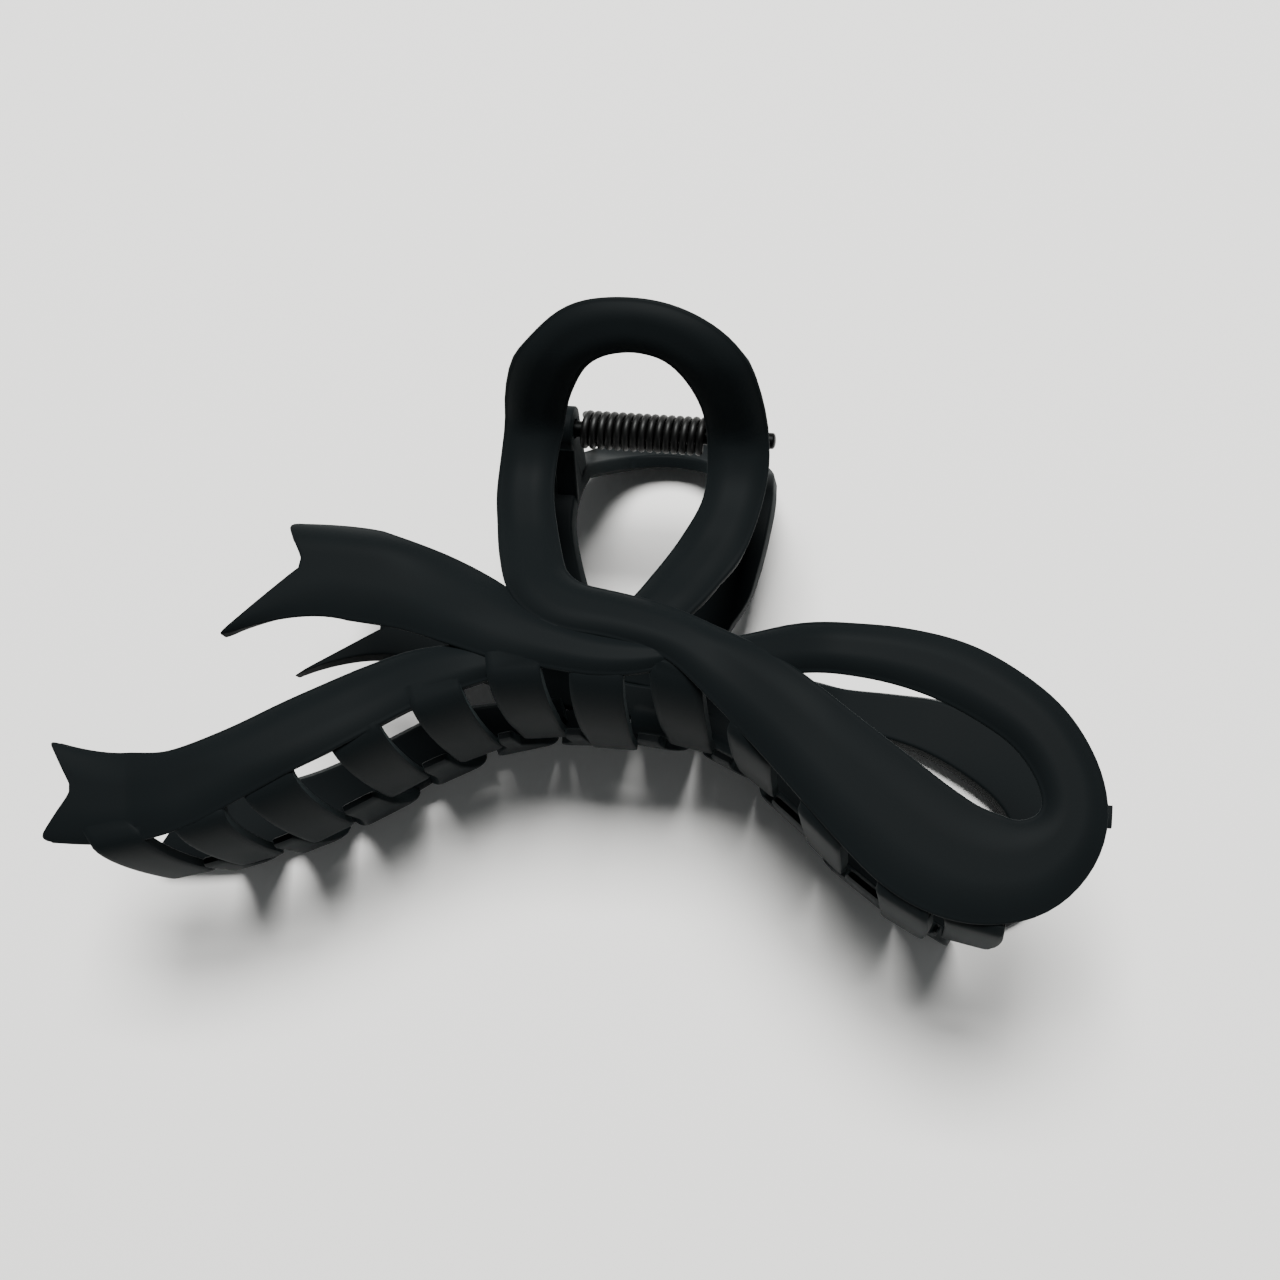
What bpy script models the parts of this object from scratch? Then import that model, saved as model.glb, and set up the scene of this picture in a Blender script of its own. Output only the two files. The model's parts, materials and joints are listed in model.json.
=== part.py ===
"""A ribbon-style claw clip: two mirrored jaws, a hinge pin and a torsion spring.

All sizes here are in millimetres; new_object scales them to metres.  The jaws are drawn in the clip's
own frame: x runs along the clip, y from the teeth to the handle, z from the rear jaw to the front jaw,
and the hinge axis is the x axis.  An empty then lays the closed clip down on its rear jaw.
"""

import math

import bmesh
import bpy
import numpy as np

MILLIMETRE = 0.001

# Overall sizes of the closed clip.
CLIP_LENGTH = 112.0  # tail tip to loop end, along x
CLIP_BREADTH = 66.0  # lowest tooth to handle top, along y
CLIP_THICKNESS = 44.0  # across both handles, along z
DRAWN_LENGTH = 112.0  # the same three sizes on the outlines below
DRAWN_BREADTH = 66.0
DRAWN_THICKNESS = 44.0
STRETCH_X = CLIP_LENGTH / DRAWN_LENGTH
STRETCH_Y = CLIP_BREADTH / DRAWN_BREADTH
STRETCH_Z = CLIP_THICKNESS / DRAWN_THICKNESS

# Moulded jaws.
RIBBON_THICKNESS = 2.4
RIBBON_CROWN = 0.7  # how far the ribbon's edges fall below its flat middle
RIBBON_EDGE = 0.45  # height of the rounded edge under the crown
FLAT_SHARE = 0.3  # share of the half width that stays flat
SHOULDER_SHARE = 0.85  # share of the half width where the crown turns down to the edge
SHOULDER_FALL = 0.55  # share of the crown that is lost by there
DRAFT_SHARE = 0.9  # the inner face is this much narrower than the outer one
STATION_STEP = 3.2  # distance between two sections of a ribbon
CURVE_STEPS = 16  # finer steps that a centre line is measured with
TUCK = 0.9  # how far one ribbon dips to pass under another
REAR_STRAND_DROP = 1.7  # how much lower the rear jaw's lower tail runs than the front one's
REAR_DROP_RANGE = (-44.0, -30.0)  # along x, from none of that drop to all of it
REAR_LOOP_DROP = 0.9  # how much lower the rear loop's upper strand runs than the front one's
REAR_LOOP_RANGE = (18.0, 27.0, 44.0, 50.0)  # along x: none of it, all of it, all of it, none of it
REAR_LOOP_WIDENING = (30.0, 38.0)  # along x, from where only that strand's inner edge is lower
REAR_LOOP_FLOOR = -38.0  # along y, below which a point is not on that strand

# Teeth.
TOOTH_THICKNESS = 1.7
TOOTH_TIP_THICKNESS = 1.2
TOOTH_CROSSING = 2.8  # how far a tip passes the mid-plane
TOOTH_ROOT_REACH = 1.8  # how far a tooth starts inside its ribbon
TOOTH_DEPTH = 0.4  # how far the middle of a tooth lies above its ribbon's inner face
TOOTH_TURNS = (0.25, 0.5, 0.75, 1.0)  # places of a tooth's sections on its quarter turn
FRONT_TOOTH_WIDTH = 5.2  # at the tip
FRONT_ROOT_FLARE = 0.6  # how much wider a front tooth is at its root
TOOTH_GAP = 0.45  # free space between a front and a rear tooth at their tips
REAR_ROOT_GAP = 1.2  # free space between two rear teeth at their roots under the tails
BOW_ROOT_OVERLAP = 0.3  # under the knot and the loop the rear teeth grow together there
FLARE_END = 0.75  # place on the quarter turn where a tooth's extra root width is lost
TAIL_FLARE = 1.0  # how fast it is lost under the tails, and under the knot and the loop
BOW_FLARE = 0.3
FLARE_SPLIT = -12.0  # drawn place along x between the two

# Hinge.
HANDLE_LEG = 12.0  # drawn place of the handle's legs beside the hinge, along x
PIN_RADIUS = 0.95
PIN_CLEARANCE = 0.3
PIN_END_RIGHT = 1.5  # how far the pin stands out of the outer knuckles
PIN_END_LEFT = 1.3
PIN_DOME = 0.3
BAR_SIDES = 16
KNUCKLE_RADIUS = 2.7
KNUCKLE_INSET = 3.6  # from the middle of a handle leg to the inner knuckle's inner face
KNUCKLE_WIDTH = 2.6
KNUCKLE_CLEARANCE = 0.4
KNUCKLE_DISC = (15.0, -200.0)  # degrees of the disc's rim that stay free of the web
KNUCKLE_SIDES = 15
KNUCKLE_WEB = (-7.4, -5.6, -4.2, -3.0)  # where the web meets the handle leg, along y
INNER_KNUCKLE = HANDLE_LEG * STRETCH_X - KNUCKLE_INSET
OUTER_KNUCKLE = INNER_KNUCKLE + KNUCKLE_WIDTH + KNUCKLE_CLEARANCE
PIN_RIGHT = OUTER_KNUCKLE + KNUCKLE_WIDTH + PIN_END_RIGHT
PIN_LEFT = OUTER_KNUCKLE + KNUCKLE_WIDTH + PIN_END_LEFT

# Torsion spring.
COIL_OUTER_RADIUS = 2.3
WIRE_RADIUS = 0.34
COIL_TURNS = 15
COIL_END_GAP = 0.75  # coil end to inner knuckle
COIL_SEGMENTS = 14
WIRE_SIDES = 5
LEG_SEAT = (0.0, 1.6)  # where a leg rests under the handle: x from the knuckle's middle, and y
LEG_SEAT_GAP = 0.45  # from the wire to the handle's inner face
LEG_KNEE = 0.4  # how far a leg stands off the coil and the knuckle where it leaves them

NUB_REACH = 0.45  # moulding gate mark on the loop's end
NUB_LENGTH = 2.4
NUB_HEIGHT = 1.0
NUB_ROOT = 0.8  # share of the loop's half width where the mark starts

# Height of a jaw's outer face above the mid-plane between the handle's legs, at places along y.
PROFILE = (
    (-62.0, 14.5),
    (-54.0, 16.0),
    (-44.0, 16.0),
    (-36.0, 15.6),
    (-28.0, 14.9),
    (-23.0, 13.2),
    (-19.0, 11.2),
    (-14.0, 9.2),
    (-8.5, 8.2),
    (-4.0, 9.4),
    (-1.4, 14.0),
    (1.4, 19.0),
    (6.2, 22.9),
    (10.0, 25.2),
)
# Heights of the outer face out on the flanks, and where the middle passes over into them.
LOOP_HEIGHT = 17.2
UPPER_TAIL_HEIGHT = 13.2
LOWER_TAIL_HEIGHT = 15.8
TAIL_RANGE = (-30.0, -46.0)  # along y, from the upper tail's height to the lower one's
FLANK_RANGE = (12.0, 26.0)  # along x, to either side
HANDLE_RANGE = (-21.0, -13.0)  # along y, where the flanks give way to the handle's legs

# Ribbon centre lines: x, y, half width, and how deep the ribbon is tucked there (0 to 1).
HANDLE_AND_LOOP = (
    (5.4, -23.6, 3.2, 1.0),
    (8.3, -19.0, 3.4, 0.5),
    (10.8, -14.3, 3.5, 0.0),
    (12.0, -9.8, 3.3, 0.0),
    (12.2, -5.2, 3.5, 0.0),
    (11.4, -1.6, 3.3, 0.0),
    (9.1, 1.2, 2.9, 0.0),
    (5.0, 3.3, 2.5, 0.0),
    (0.15, 3.9, 2.4, 0.0),
    (-4.95, 2.95, 2.7, 0.0),
    (-8.3, 0.5, 2.8, 0.0),
    (-10.9, -2.7, 3.35, 0.0),
    (-11.6, -6.3, 3.3, 0.0),
    (-11.6, -10.2, 3.3, 0.0),
    (-10.6, -14.3, 3.3, 0.0),
    (-9.2, -18.4, 3.4, 0.0),
    (-7.5, -21.8, 3.3, 0.0),
    (-4.1, -24.1, 3.1, 0.0),
    (0.6, -24.8, 2.9, 0.0),
    (5.2, -25.7, 2.9, 0.0),
    (9.4, -27.2, 3.0, 0.0),
    (13.6, -29.7, 3.6, 0.0),
    (17.8, -32.7, 4.2, 0.0),
    (22.3, -36.2, 4.7, 0.0),
    (26.7, -39.7, 5.2, 0.0),
    (30.6, -42.7, 5.6, 0.0),
    (34.5, -45.6, 5.9, 0.0),
    (38.0, -47.4, 5.8, 0.0),
    (41.4, -48.0, 5.5, 0.0),
    (44.7, -47.6, 4.9, 0.0),
    (47.3, -46.0, 4.1, 0.0),
    (49.0, -43.6, 3.4, 0.0),
    (49.3, -40.6, 3.1, 0.0),
    (47.9, -36.9, 3.1, 0.0),
    (44.6, -33.0, 3.2, 0.0),
    (38.2, -29.4, 3.3, 0.0),
    (31.8, -27.8, 3.0, 0.0),
    (25.2, -27.4, 2.7, 0.2),
    (19.6, -27.5, 2.8, 0.7),
    (14.6, -28.4, 2.7, 1.1),
)
UPPER_TAIL_RIBBON = (
    (9.0, -28.6, 1.0, 1.2),
    (4.5, -29.4, 2.0, 0.6),
    (0.0, -29.6, 2.4, 0.4),
    (-4.5, -28.9, 2.8, 0.5),
    (-9.5, -27.5, 3.9, 0.6),
    (-15.3, -25.3, 4.8, 0.3),
    (-21.2, -23.5, 5.2, 0.3),
    (-27.2, -22.3, 5.9, 0.3),
)
LOWER_TAIL_RIBBON = (
    (-8.0, -29.8, 1.5, 2.2),
    (-11.5, -31.1, 2.1, 1.8),
    (-15.0, -32.1, 2.6, 1.2),
    (-21.4, -34.5, 3.3, 0.5),
    (-29.8, -39.9, 3.9, 0.2),
    (-36.9, -44.7, 4.0, 0.2),
    (-43.5, -48.5, 4.4, 0.5),
    (-48.5, -49.8, 5.0, 1.1),
)
# Swallow tails: the upper tip, the notch and the lower tip, as x and y.
UPPER_TAIL = ((-37.4, -16.6), (-34.1, -22.2), (-43.0, -31.3))
LOWER_TAIL = ((-59.2, -44.3), (-55.0, -49.7), (-58.0, -55.6))
REAR_UPPER_TAIL = ((-37.4, -16.6), (-31.8, -23.8), (-43.0, -31.3))
TAIL_TIP_RADIUS = 0.7
TAIL_SECTIONS = (0.35, 0.7, 1.0)  # places of the tail's sections on its way to the cut edge
TAIL_PULL = 0.4  # how long the tail runs straight on before it bends to a tip
TAIL_NOTCH_REACH = 0.1  # places on the cut edge, from the notch to a tip
TAIL_SHOULDER_REACH = 0.93

STEEPEST_TILT = math.radians(30.0)
TILT_HALVINGS = 40

# The comb: x and y of a tooth's root at the ribbon's edge and of its tip at the mid-plane.
FRONT_TEETH = (
    ((-49.2, -54.2), (-47.2, -56.4)),
    ((-40.3, -51.2), (-39.2, -53.8)),
    ((-33.4, -46.7), (-31.2, -50.0)),
    ((-24.9, -40.7), (-23.0, -43.8)),
    ((-16.7, -35.6), (-15.0, -39.2)),
    ((-8.6, -32.0), (-7.6, -36.4)),
    ((0.3, -31.3), (0.6, -36.9)),
    ((8.6, -30.2), (9.4, -36.1)),
    ((17.4, -37.4), (17.3, -39.4)),
    ((25.2, -45.1), (25.6, -46.9)),
    ((33.7, -51.6), (34.4, -53.3)),
    ((40.6, -53.0), (41.1, -54.3)),
)


def smooth_values(knots, values, at):
    """Values of a smooth curve through the knots that never swings past a flat stretch."""
    knots = np.asarray(knots, float)
    values = np.asarray(values, float)
    rise = np.diff(values) / np.diff(knots)
    slopes = np.zeros(len(knots))
    same_way = rise[1:] * rise[:-1] > 0
    total = np.where(same_way, rise[1:] + rise[:-1], 1.0)
    slopes[1:-1] = np.where(same_way, 2 * rise[1:] * rise[:-1] / total, 0.0)
    slopes[0] = rise[0]
    slopes[-1] = rise[-1]
    at = np.clip(at, knots[0], knots[-1])
    index = np.clip(np.searchsorted(knots, at, side="right") - 1, 0, len(rise) - 1)
    width = knots[index + 1] - knots[index]
    t = (at - knots[index]) / width
    start = values[index] * (1 + 2 * t) * (1 - t) ** 2 + slopes[index] * width * t * (1 - t) ** 2
    end = values[index + 1] * t * t * (3 - 2 * t) + slopes[index + 1] * width * t * t * (t - 1)
    return start + end


def ease(start, end, value):
    """Smooth step from 0 at start to 1 at end."""
    share = np.clip((value - start) / (end - start), 0.0, 1.0)
    return share * share * (3 - 2 * share)


def outer_height(x, y):
    """Height of a jaw's outer face above the mid-plane."""
    x = np.asarray(x, float) / STRETCH_X
    y = np.asarray(y, float) / STRETCH_Y
    knots, heights = np.array(PROFILE).T
    middle = smooth_values(knots, heights, y)
    tails = UPPER_TAIL_HEIGHT + (LOWER_TAIL_HEIGHT - UPPER_TAIL_HEIGHT) * ease(*TAIL_RANGE, y)
    flank = np.where(x < 0, tails, LOOP_HEIGHT)
    share = ease(*FLANK_RANGE, np.abs(x)) * (1 - ease(*HANDLE_RANGE, y))
    return (middle * (1 - share) + flank * share) * STRETCH_Z


def on_face(x, y, sink):
    """Points under the outer face at (x, y), each sunk by its own depth along the face's normal."""
    x, y, sink = np.broadcast_arrays(np.asarray(x, float), np.asarray(y, float), np.asarray(sink, float))
    reach = 0.05
    slope_x = (outer_height(x + reach, y) - outer_height(x - reach, y)) / (2 * reach)
    slope_y = (outer_height(x, y + reach) - outer_height(x, y - reach)) / (2 * reach)
    depth = sink / np.sqrt(1 + slope_x**2 + slope_y**2)
    return np.stack([x + depth * slope_x, y + depth * slope_y, outer_height(x, y) - depth], axis=-1)


def ribbon_stations(outline):
    """The outline's centre line, half widths and tucks at even steps along it."""
    points = np.array(outline, float)
    points[:, 0] *= STRETCH_X
    points[:, 1] *= STRETCH_Y
    fine = []
    for i in range(len(points) - 1):
        before = points[max(i - 1, 0)]
        start = points[i]
        end = points[i + 1]
        after = points[min(i + 2, len(points) - 1)]
        for t in np.arange(CURVE_STEPS) / CURVE_STEPS:
            a = 2 * start + (end - before) * t
            b = (2 * before - 5 * start + 4 * end - after) * t**2
            c = (3 * start - before - 3 * end + after) * t**3
            fine.append((a + b + c) / 2)
    fine.append(points[-1])
    fine = np.array(fine)
    steps = np.linalg.norm(np.diff(fine[:, :2], axis=0), axis=1)
    along = np.concatenate([[0.0], np.cumsum(steps)])
    count = int(round(along[-1] / STATION_STEP)) + 1
    even = np.linspace(0.0, along[-1], count)
    return np.stack([np.interp(even, along, column) for column in fine.T], axis=1)


def rear_drop(x):
    """How far the rear jaw's lower tail runs below the front one's, at a drawn x."""
    return REAR_STRAND_DROP * ease(*REAR_DROP_RANGE, x) * (x < 0)


def handle_and_loop(front):
    """Outline of the ribbon that forms one jaw's handle and loop."""
    outline = np.array(HANDLE_AND_LOOP)
    if not front:
        x, y = outline[:, 0], outline[:, 1]
        rise, full, ebb, end = REAR_LOOP_RANGE
        upper = (y > REAR_LOOP_FLOOR) & (np.arange(len(x)) > len(x) / 2)
        drop = REAR_LOOP_DROP * ease(rise, full, x) * (1 - ease(ebb, end, x)) * upper
        wider = ease(*REAR_LOOP_WIDENING, x) * drop / 2
        outline[:, 1] -= drop - wider
        outline[:, 2] += wider
    return outline


def lower_tail(front):
    """Outline of the lower tail's ribbon on one jaw."""
    outline = np.array(LOWER_TAIL_RIBBON)
    if not front:
        outline[:, 1] -= rear_drop(outline[:, 0])
    return outline


def section_shape():
    """The ribbon's section: share of the half width and depth under the middle, outer face first."""
    outer = [
        (-1.0, RIBBON_CROWN + RIBBON_EDGE),
        (-SHOULDER_SHARE, RIBBON_CROWN * SHOULDER_FALL),
        (-FLAT_SHARE, 0.0),
        (FLAT_SHARE, 0.0),
        (SHOULDER_SHARE, RIBBON_CROWN * SHOULDER_FALL),
        (1.0, RIBBON_CROWN + RIBBON_EDGE),
    ]
    inner = [(share, RIBBON_THICKNESS) for share in (DRAFT_SHARE, FLAT_SHARE, -FLAT_SHARE, -DRAFT_SHARE)]
    return outer + inner


def tail_end(tail, share):
    """Where the tail's cut edge lies at this share of the half width."""
    upper, notch, lower = [np.array(point) * (STRETCH_X, STRETCH_Y) for point in tail]
    tip = upper if share < 0 else lower
    other = lower if share < 0 else upper
    size = abs(share)
    outward = (tip - other) / np.linalg.norm(tip - other)
    if size > DRAFT_SHARE:
        return tip + outward * TAIL_TIP_RADIUS
    if size >= SHOULDER_SHARE:
        return tip if size > SHOULDER_SHARE else notch + (tip - notch) * TAIL_SHOULDER_REACH
    return notch + (tip - notch) * TAIL_NOTCH_REACH


def ribbon(outline, tail=None):
    """Mesh of one ribbon on the outer face, with a swallow tail at its last point if it has one."""
    stations = ribbon_stations(outline)
    shape = section_shape()
    centre = stations[:, :2]
    forward = np.gradient(centre, axis=0)
    forward /= np.linalg.norm(forward, axis=1)[:, None]
    across = np.stack([forward[:, 1], -forward[:, 0]], axis=1)
    if tail:
        across *= -1.0
    rings = []
    for share, depth in shape:
        plan = centre + across * (stations[:, 2] * share)[:, None]
        sink = depth + TUCK * stations[:, 3]
        if tail:
            start = plan[-1]
            end = tail_end(tail, share)
            pull = start + forward[-1] * np.linalg.norm(end - start) * TAIL_PULL
            for t in TAIL_SECTIONS:
                plan = np.vstack([plan, (1 - t) ** 2 * start + 2 * t * (1 - t) * pull + t * t * end])
                sink = np.append(sink, depth + TUCK * stations[-1, 3])
        rings.append(on_face(plan[:, 0], plan[:, 1], sink))
    rings = np.stack(rings, axis=1)
    return tube_mesh(rings, strip_cap=True)


def tube_mesh(rings, strip_cap=False):
    """Vertices and faces of a closed tube through the rings, each an array of points."""
    count, size = rings.shape[:2]
    faces = []
    for i in range(count - 1):
        for j in range(size):
            k = (j + 1) % size
            faces.append((i * size + j, i * size + k, (i + 1) * size + k, (i + 1) * size + j))
    if strip_cap:
        cap = [(0, 1, 9), (1, 2, 8, 9), (2, 3, 7, 8), (3, 4, 6, 7), (4, 5, 6)]
    else:
        cap = [tuple(range(size))]
    last = (count - 1) * size
    faces += [tuple(reversed(face)) for face in cap]
    faces += [tuple(last + j for j in face) for face in cap]
    return rings.reshape(-1, 3), faces


def tooth(root, tip, root_width, tip_width, along):
    """Mesh of one tooth that curls from the ribbon's edge to just past the mid-plane."""
    flare = TAIL_FLARE if tip[0] < FLARE_SPLIT else BOW_FLARE
    root = np.array(root) * (STRETCH_X, STRETCH_Y)
    tip = np.array(tip) * (STRETCH_X, STRETCH_Y)
    drop = (tip - root) / np.linalg.norm(tip - root)
    inside = root - drop * TOOTH_ROOT_REACH
    depth = RIBBON_THICKNESS - TOOTH_DEPTH
    high = outer_height(*root) - depth
    sections = [(inside, outer_height(*inside) - depth, 0.0)]
    for turn in TOOTH_TURNS:
        plan = root + (tip - root) * math.sin(turn * math.pi / 2)
        height = high - (high + TOOTH_CROSSING * STRETCH_Z) * (1 - math.cos(turn * math.pi / 2))
        sections.append((plan, height, turn))
    centres = np.array([(plan[0], plan[1], height) for plan, height, turn in sections])
    path = np.gradient(centres, axis=0)
    width_way = np.array([along[0], along[1], 0.0])
    rings = []
    for centre, way, (plan, height, turn) in zip(centres, path, sections):
        out_way = np.cross(width_way, way)
        out_way /= np.linalg.norm(out_way)
        rest = (1 - min(turn / FLARE_END, 1.0)) ** flare
        half = (tip_width + (root_width - tip_width) * rest) / 2
        thick = TOOTH_THICKNESS + (TOOTH_TIP_THICKNESS - TOOTH_THICKNESS) * turn
        corners = ((-1, 1), (1, 1), (1, -1), (-1, -1))
        rings.append([centre + width_way * half * a + out_way * thick / 2 * b for a, b in corners])
    return tube_mesh(np.array(rings))


def comb(front):
    """Meshes of one jaw's teeth.  The rear teeth stand in the middle of the front jaw's gaps."""
    roots = np.array([root for root, tip in FRONT_TEETH])
    tips = np.array([tip for root, tip in FRONT_TEETH])
    tip_widths = np.full(len(tips), FRONT_TOOTH_WIDTH)
    root_widths = tip_widths + FRONT_ROOT_FLARE
    if not front:
        pitch = np.linalg.norm(np.diff(tips, axis=0) * (STRETCH_X, STRETCH_Y), axis=1)
        tip_widths = pitch - FRONT_TOOTH_WIDTH - 2 * TOOTH_GAP
        bow = tips[1:, 0] + tips[:-1, 0] > 2 * FLARE_SPLIT
        spread = np.where(bow, BOW_ROOT_OVERLAP, -REAR_ROOT_GAP)
        root_widths = pitch + spread
        roots = (roots[1:] + roots[:-1]) / 2
        roots[:, 1] -= rear_drop(roots[:, 0])
        tips = (tips[1:] + tips[:-1]) / 2
    chords = np.gradient(tips * (STRETCH_X, STRETCH_Y), axis=0)
    meshes = []
    for root, tip, root_width, tip_width, chord in zip(roots, tips, root_widths, tip_widths, chords):
        along = chord / np.linalg.norm(chord)
        meshes.append(tooth(root, tip, root_width, tip_width, along))
    return meshes


def knuckle(inner_face, outer_face):
    """Mesh of one knuckle: a disc round the pin with a web up to the handle leg."""
    turns = np.radians(np.linspace(*KNUCKLE_DISC, KNUCKLE_SIDES))
    outline = [(KNUCKLE_RADIUS * math.cos(a), KNUCKLE_RADIUS * math.sin(a)) for a in turns]
    for y in KNUCKLE_WEB:
        point = on_face(0.0, y * STRETCH_Y, RIBBON_THICKNESS / 2)
        outline.append((point[1], point[2]))
    rings = [[(x, y, z) for y, z in outline] for x in (inner_face, outer_face)]
    return tube_mesh(np.array(rings))


def round_bar(profile):
    """Mesh of a round bar along the hinge axis, from its places along x and its radii there."""
    turns = np.arange(BAR_SIDES) / BAR_SIDES * 2 * math.pi
    rings = [[(x, radius * math.cos(a), radius * math.sin(a)) for a in turns] for x, radius in profile]
    return tube_mesh(np.array(rings))


def gate_nub():
    """Mesh of the small moulding mark on the loop's end."""
    stations = ribbon_stations(HANDLE_AND_LOOP)
    index = int(np.argmax(stations[:, 0] + stations[:, 2]))
    x, y, half = stations[index, :3]
    top = float(outer_height(x, y)) - RIBBON_CROWN - RIBBON_EDGE
    rings = []
    for reach in (x + half * NUB_ROOT, x + half + NUB_REACH):
        sides = ((-1, 0), (1, 0), (1, -1), (-1, -1))
        rings.append([(reach, y + NUB_LENGTH / 2 * a, top + NUB_HEIGHT * b) for a, b in sides])
    return tube_mesh(np.array(rings))


def new_object(name, mesh_data, parent, side=1):
    """A mesh object from vertices in millimetres, mirrored to the rear when side is -1."""
    vertices, faces = mesh_data
    points = np.array(vertices) * (1, 1, side) * MILLIMETRE
    mesh = bpy.data.meshes.new(name)
    mesh.from_pydata(points.tolist(), [], [list(face) for face in faces])
    bm = bmesh.new()
    bm.from_mesh(mesh)
    bmesh.ops.recalc_face_normals(bm, faces=bm.faces)
    bm.to_mesh(mesh)
    bm.free()
    obj = bpy.data.objects.new(name, mesh)
    bpy.context.collection.objects.link(obj)
    obj.parent = parent
    return obj


def new_helper(name, mesh_data, parent, side, collection):
    """A hidden piece that only a Boolean reads."""
    obj = new_object(name, mesh_data, parent, side)
    bpy.context.collection.objects.unlink(obj)
    collection.objects.link(obj)
    obj.hide_render = True
    obj.display_type = "WIRE"
    return obj


def new_material(name, colour, roughness, metallic):
    material = bpy.data.materials.new(name)
    material.use_nodes = True
    shader = material.node_tree.nodes["Principled BSDF"]
    shader.inputs["Base Color"].default_value = (*colour, 1.0)
    shader.inputs["Roughness"].default_value = roughness
    shader.inputs["Metallic"].default_value = metallic
    return material


def finish_object(obj, material, smooth_angle=40.0):
    obj.data.materials.append(material)
    obj.data.shade_smooth()
    obj.data.set_sharp_from_angle(angle=math.radians(smooth_angle))


def add_boolean(obj, operation, collection):
    boolean = obj.modifiers.new(operation.lower(), "BOOLEAN")
    boolean.operation = operation
    boolean.operand_type = "COLLECTION"
    boolean.collection = collection
    boolean.solver = "EXACT"
    boolean.use_self = operation == "UNION"
    return boolean


def build_jaw(name, side, knuckle_start, parent, material):
    """One moulded jaw: the ribbon that forms handle and loop, joined with all that grows from it."""
    joined = bpy.data.collections.new(name + "_joined")
    bored = bpy.data.collections.new(name + "_bored")
    for collection in (joined, bored):
        bpy.context.scene.collection.children.link(collection)
        collection.hide_render = True
    front = side > 0
    jaw = new_object(name, ribbon(handle_and_loop(front)), parent, side)
    upper = UPPER_TAIL if front else REAR_UPPER_TAIL
    pieces = [ribbon(UPPER_TAIL_RIBBON, upper), ribbon(lower_tail(front), LOWER_TAIL), gate_nub()]
    pieces += comb(front)
    for hand in (-1, 1):
        pieces.append(knuckle(hand * knuckle_start, hand * (knuckle_start + KNUCKLE_WIDTH)))
    for number, piece in enumerate(pieces):
        new_helper(f"{name}_piece_{number}", piece, parent, side, joined)
    bore_radius = PIN_RADIUS + PIN_CLEARANCE
    bore = round_bar([(-PIN_RIGHT, bore_radius), (PIN_RIGHT, bore_radius)])
    new_helper(name + "_bore", bore, parent, side, bored)
    add_boolean(jaw, "UNION", joined)
    add_boolean(jaw, "DIFFERENCE", bored)
    finish_object(jaw, material)
    return jaw


def build_pin(parent, material):
    """The hinge pin with its slightly domed ends."""
    profile = [
        (-PIN_LEFT, PIN_RADIUS - PIN_DOME),
        (-PIN_LEFT + PIN_DOME, PIN_RADIUS),
        (PIN_RIGHT - PIN_DOME, PIN_RADIUS),
        (PIN_RIGHT, PIN_RADIUS - PIN_DOME),
    ]
    pin = new_object("hinge_pin", round_bar(profile), parent)
    finish_object(pin, material)
    return pin


def spring_path():
    """Centre line of the spring's wire: rear leg, close coil, front leg."""
    mean = COIL_OUTER_RADIUS - WIRE_RADIUS
    half = INNER_KNUCKLE - COIL_END_GAP - WIRE_RADIUS
    steps = COIL_TURNS * COIL_SEGMENTS
    turns = np.arange(steps + 1) / COIL_SEGMENTS * 2 * math.pi
    coil = np.stack([np.linspace(-half, half, steps + 1), mean * np.cos(turns), mean * np.sin(turns)], 1)
    bend = KNUCKLE_RADIUS + WIRE_RADIUS + LEG_KNEE
    seat_x = INNER_KNUCKLE + KNUCKLE_WIDTH / 2 + LEG_SEAT[0]
    seat = on_face(seat_x, LEG_SEAT[1] * STRETCH_Y, RIBBON_THICKNESS + WIRE_RADIUS + LEG_SEAT_GAP)
    knee = np.array([half + WIRE_RADIUS / 2, mean + LEG_KNEE, bend])
    shin = np.array([(knee[0] + 2 * seat[0]) / 3, (knee[1] + seat[1]) / 2, (knee[2] + seat[2]) / 2])
    leg = np.array([knee, shin, seat])
    rear_leg = leg * (-1, 1, -1)
    return np.vstack([rear_leg[::-1], coil, leg])


def build_spring(parent, material):
    """The wire swept along its path."""
    path = spring_path()
    way = np.gradient(path, axis=0)
    way /= np.linalg.norm(way, axis=1)[:, None]
    side = np.cross(way, (1.0, 0.0, 0.0))
    side /= np.linalg.norm(side, axis=1)[:, None]
    up = np.cross(way, side)
    turns = np.arange(WIRE_SIDES) / WIRE_SIDES * 2 * math.pi
    rings = np.stack([path + WIRE_RADIUS * (side * math.cos(a) + up * math.sin(a)) for a in turns], 1)
    spring = new_object("torsion_spring", tube_mesh(rings), parent)
    finish_object(spring, material)
    return spring


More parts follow.
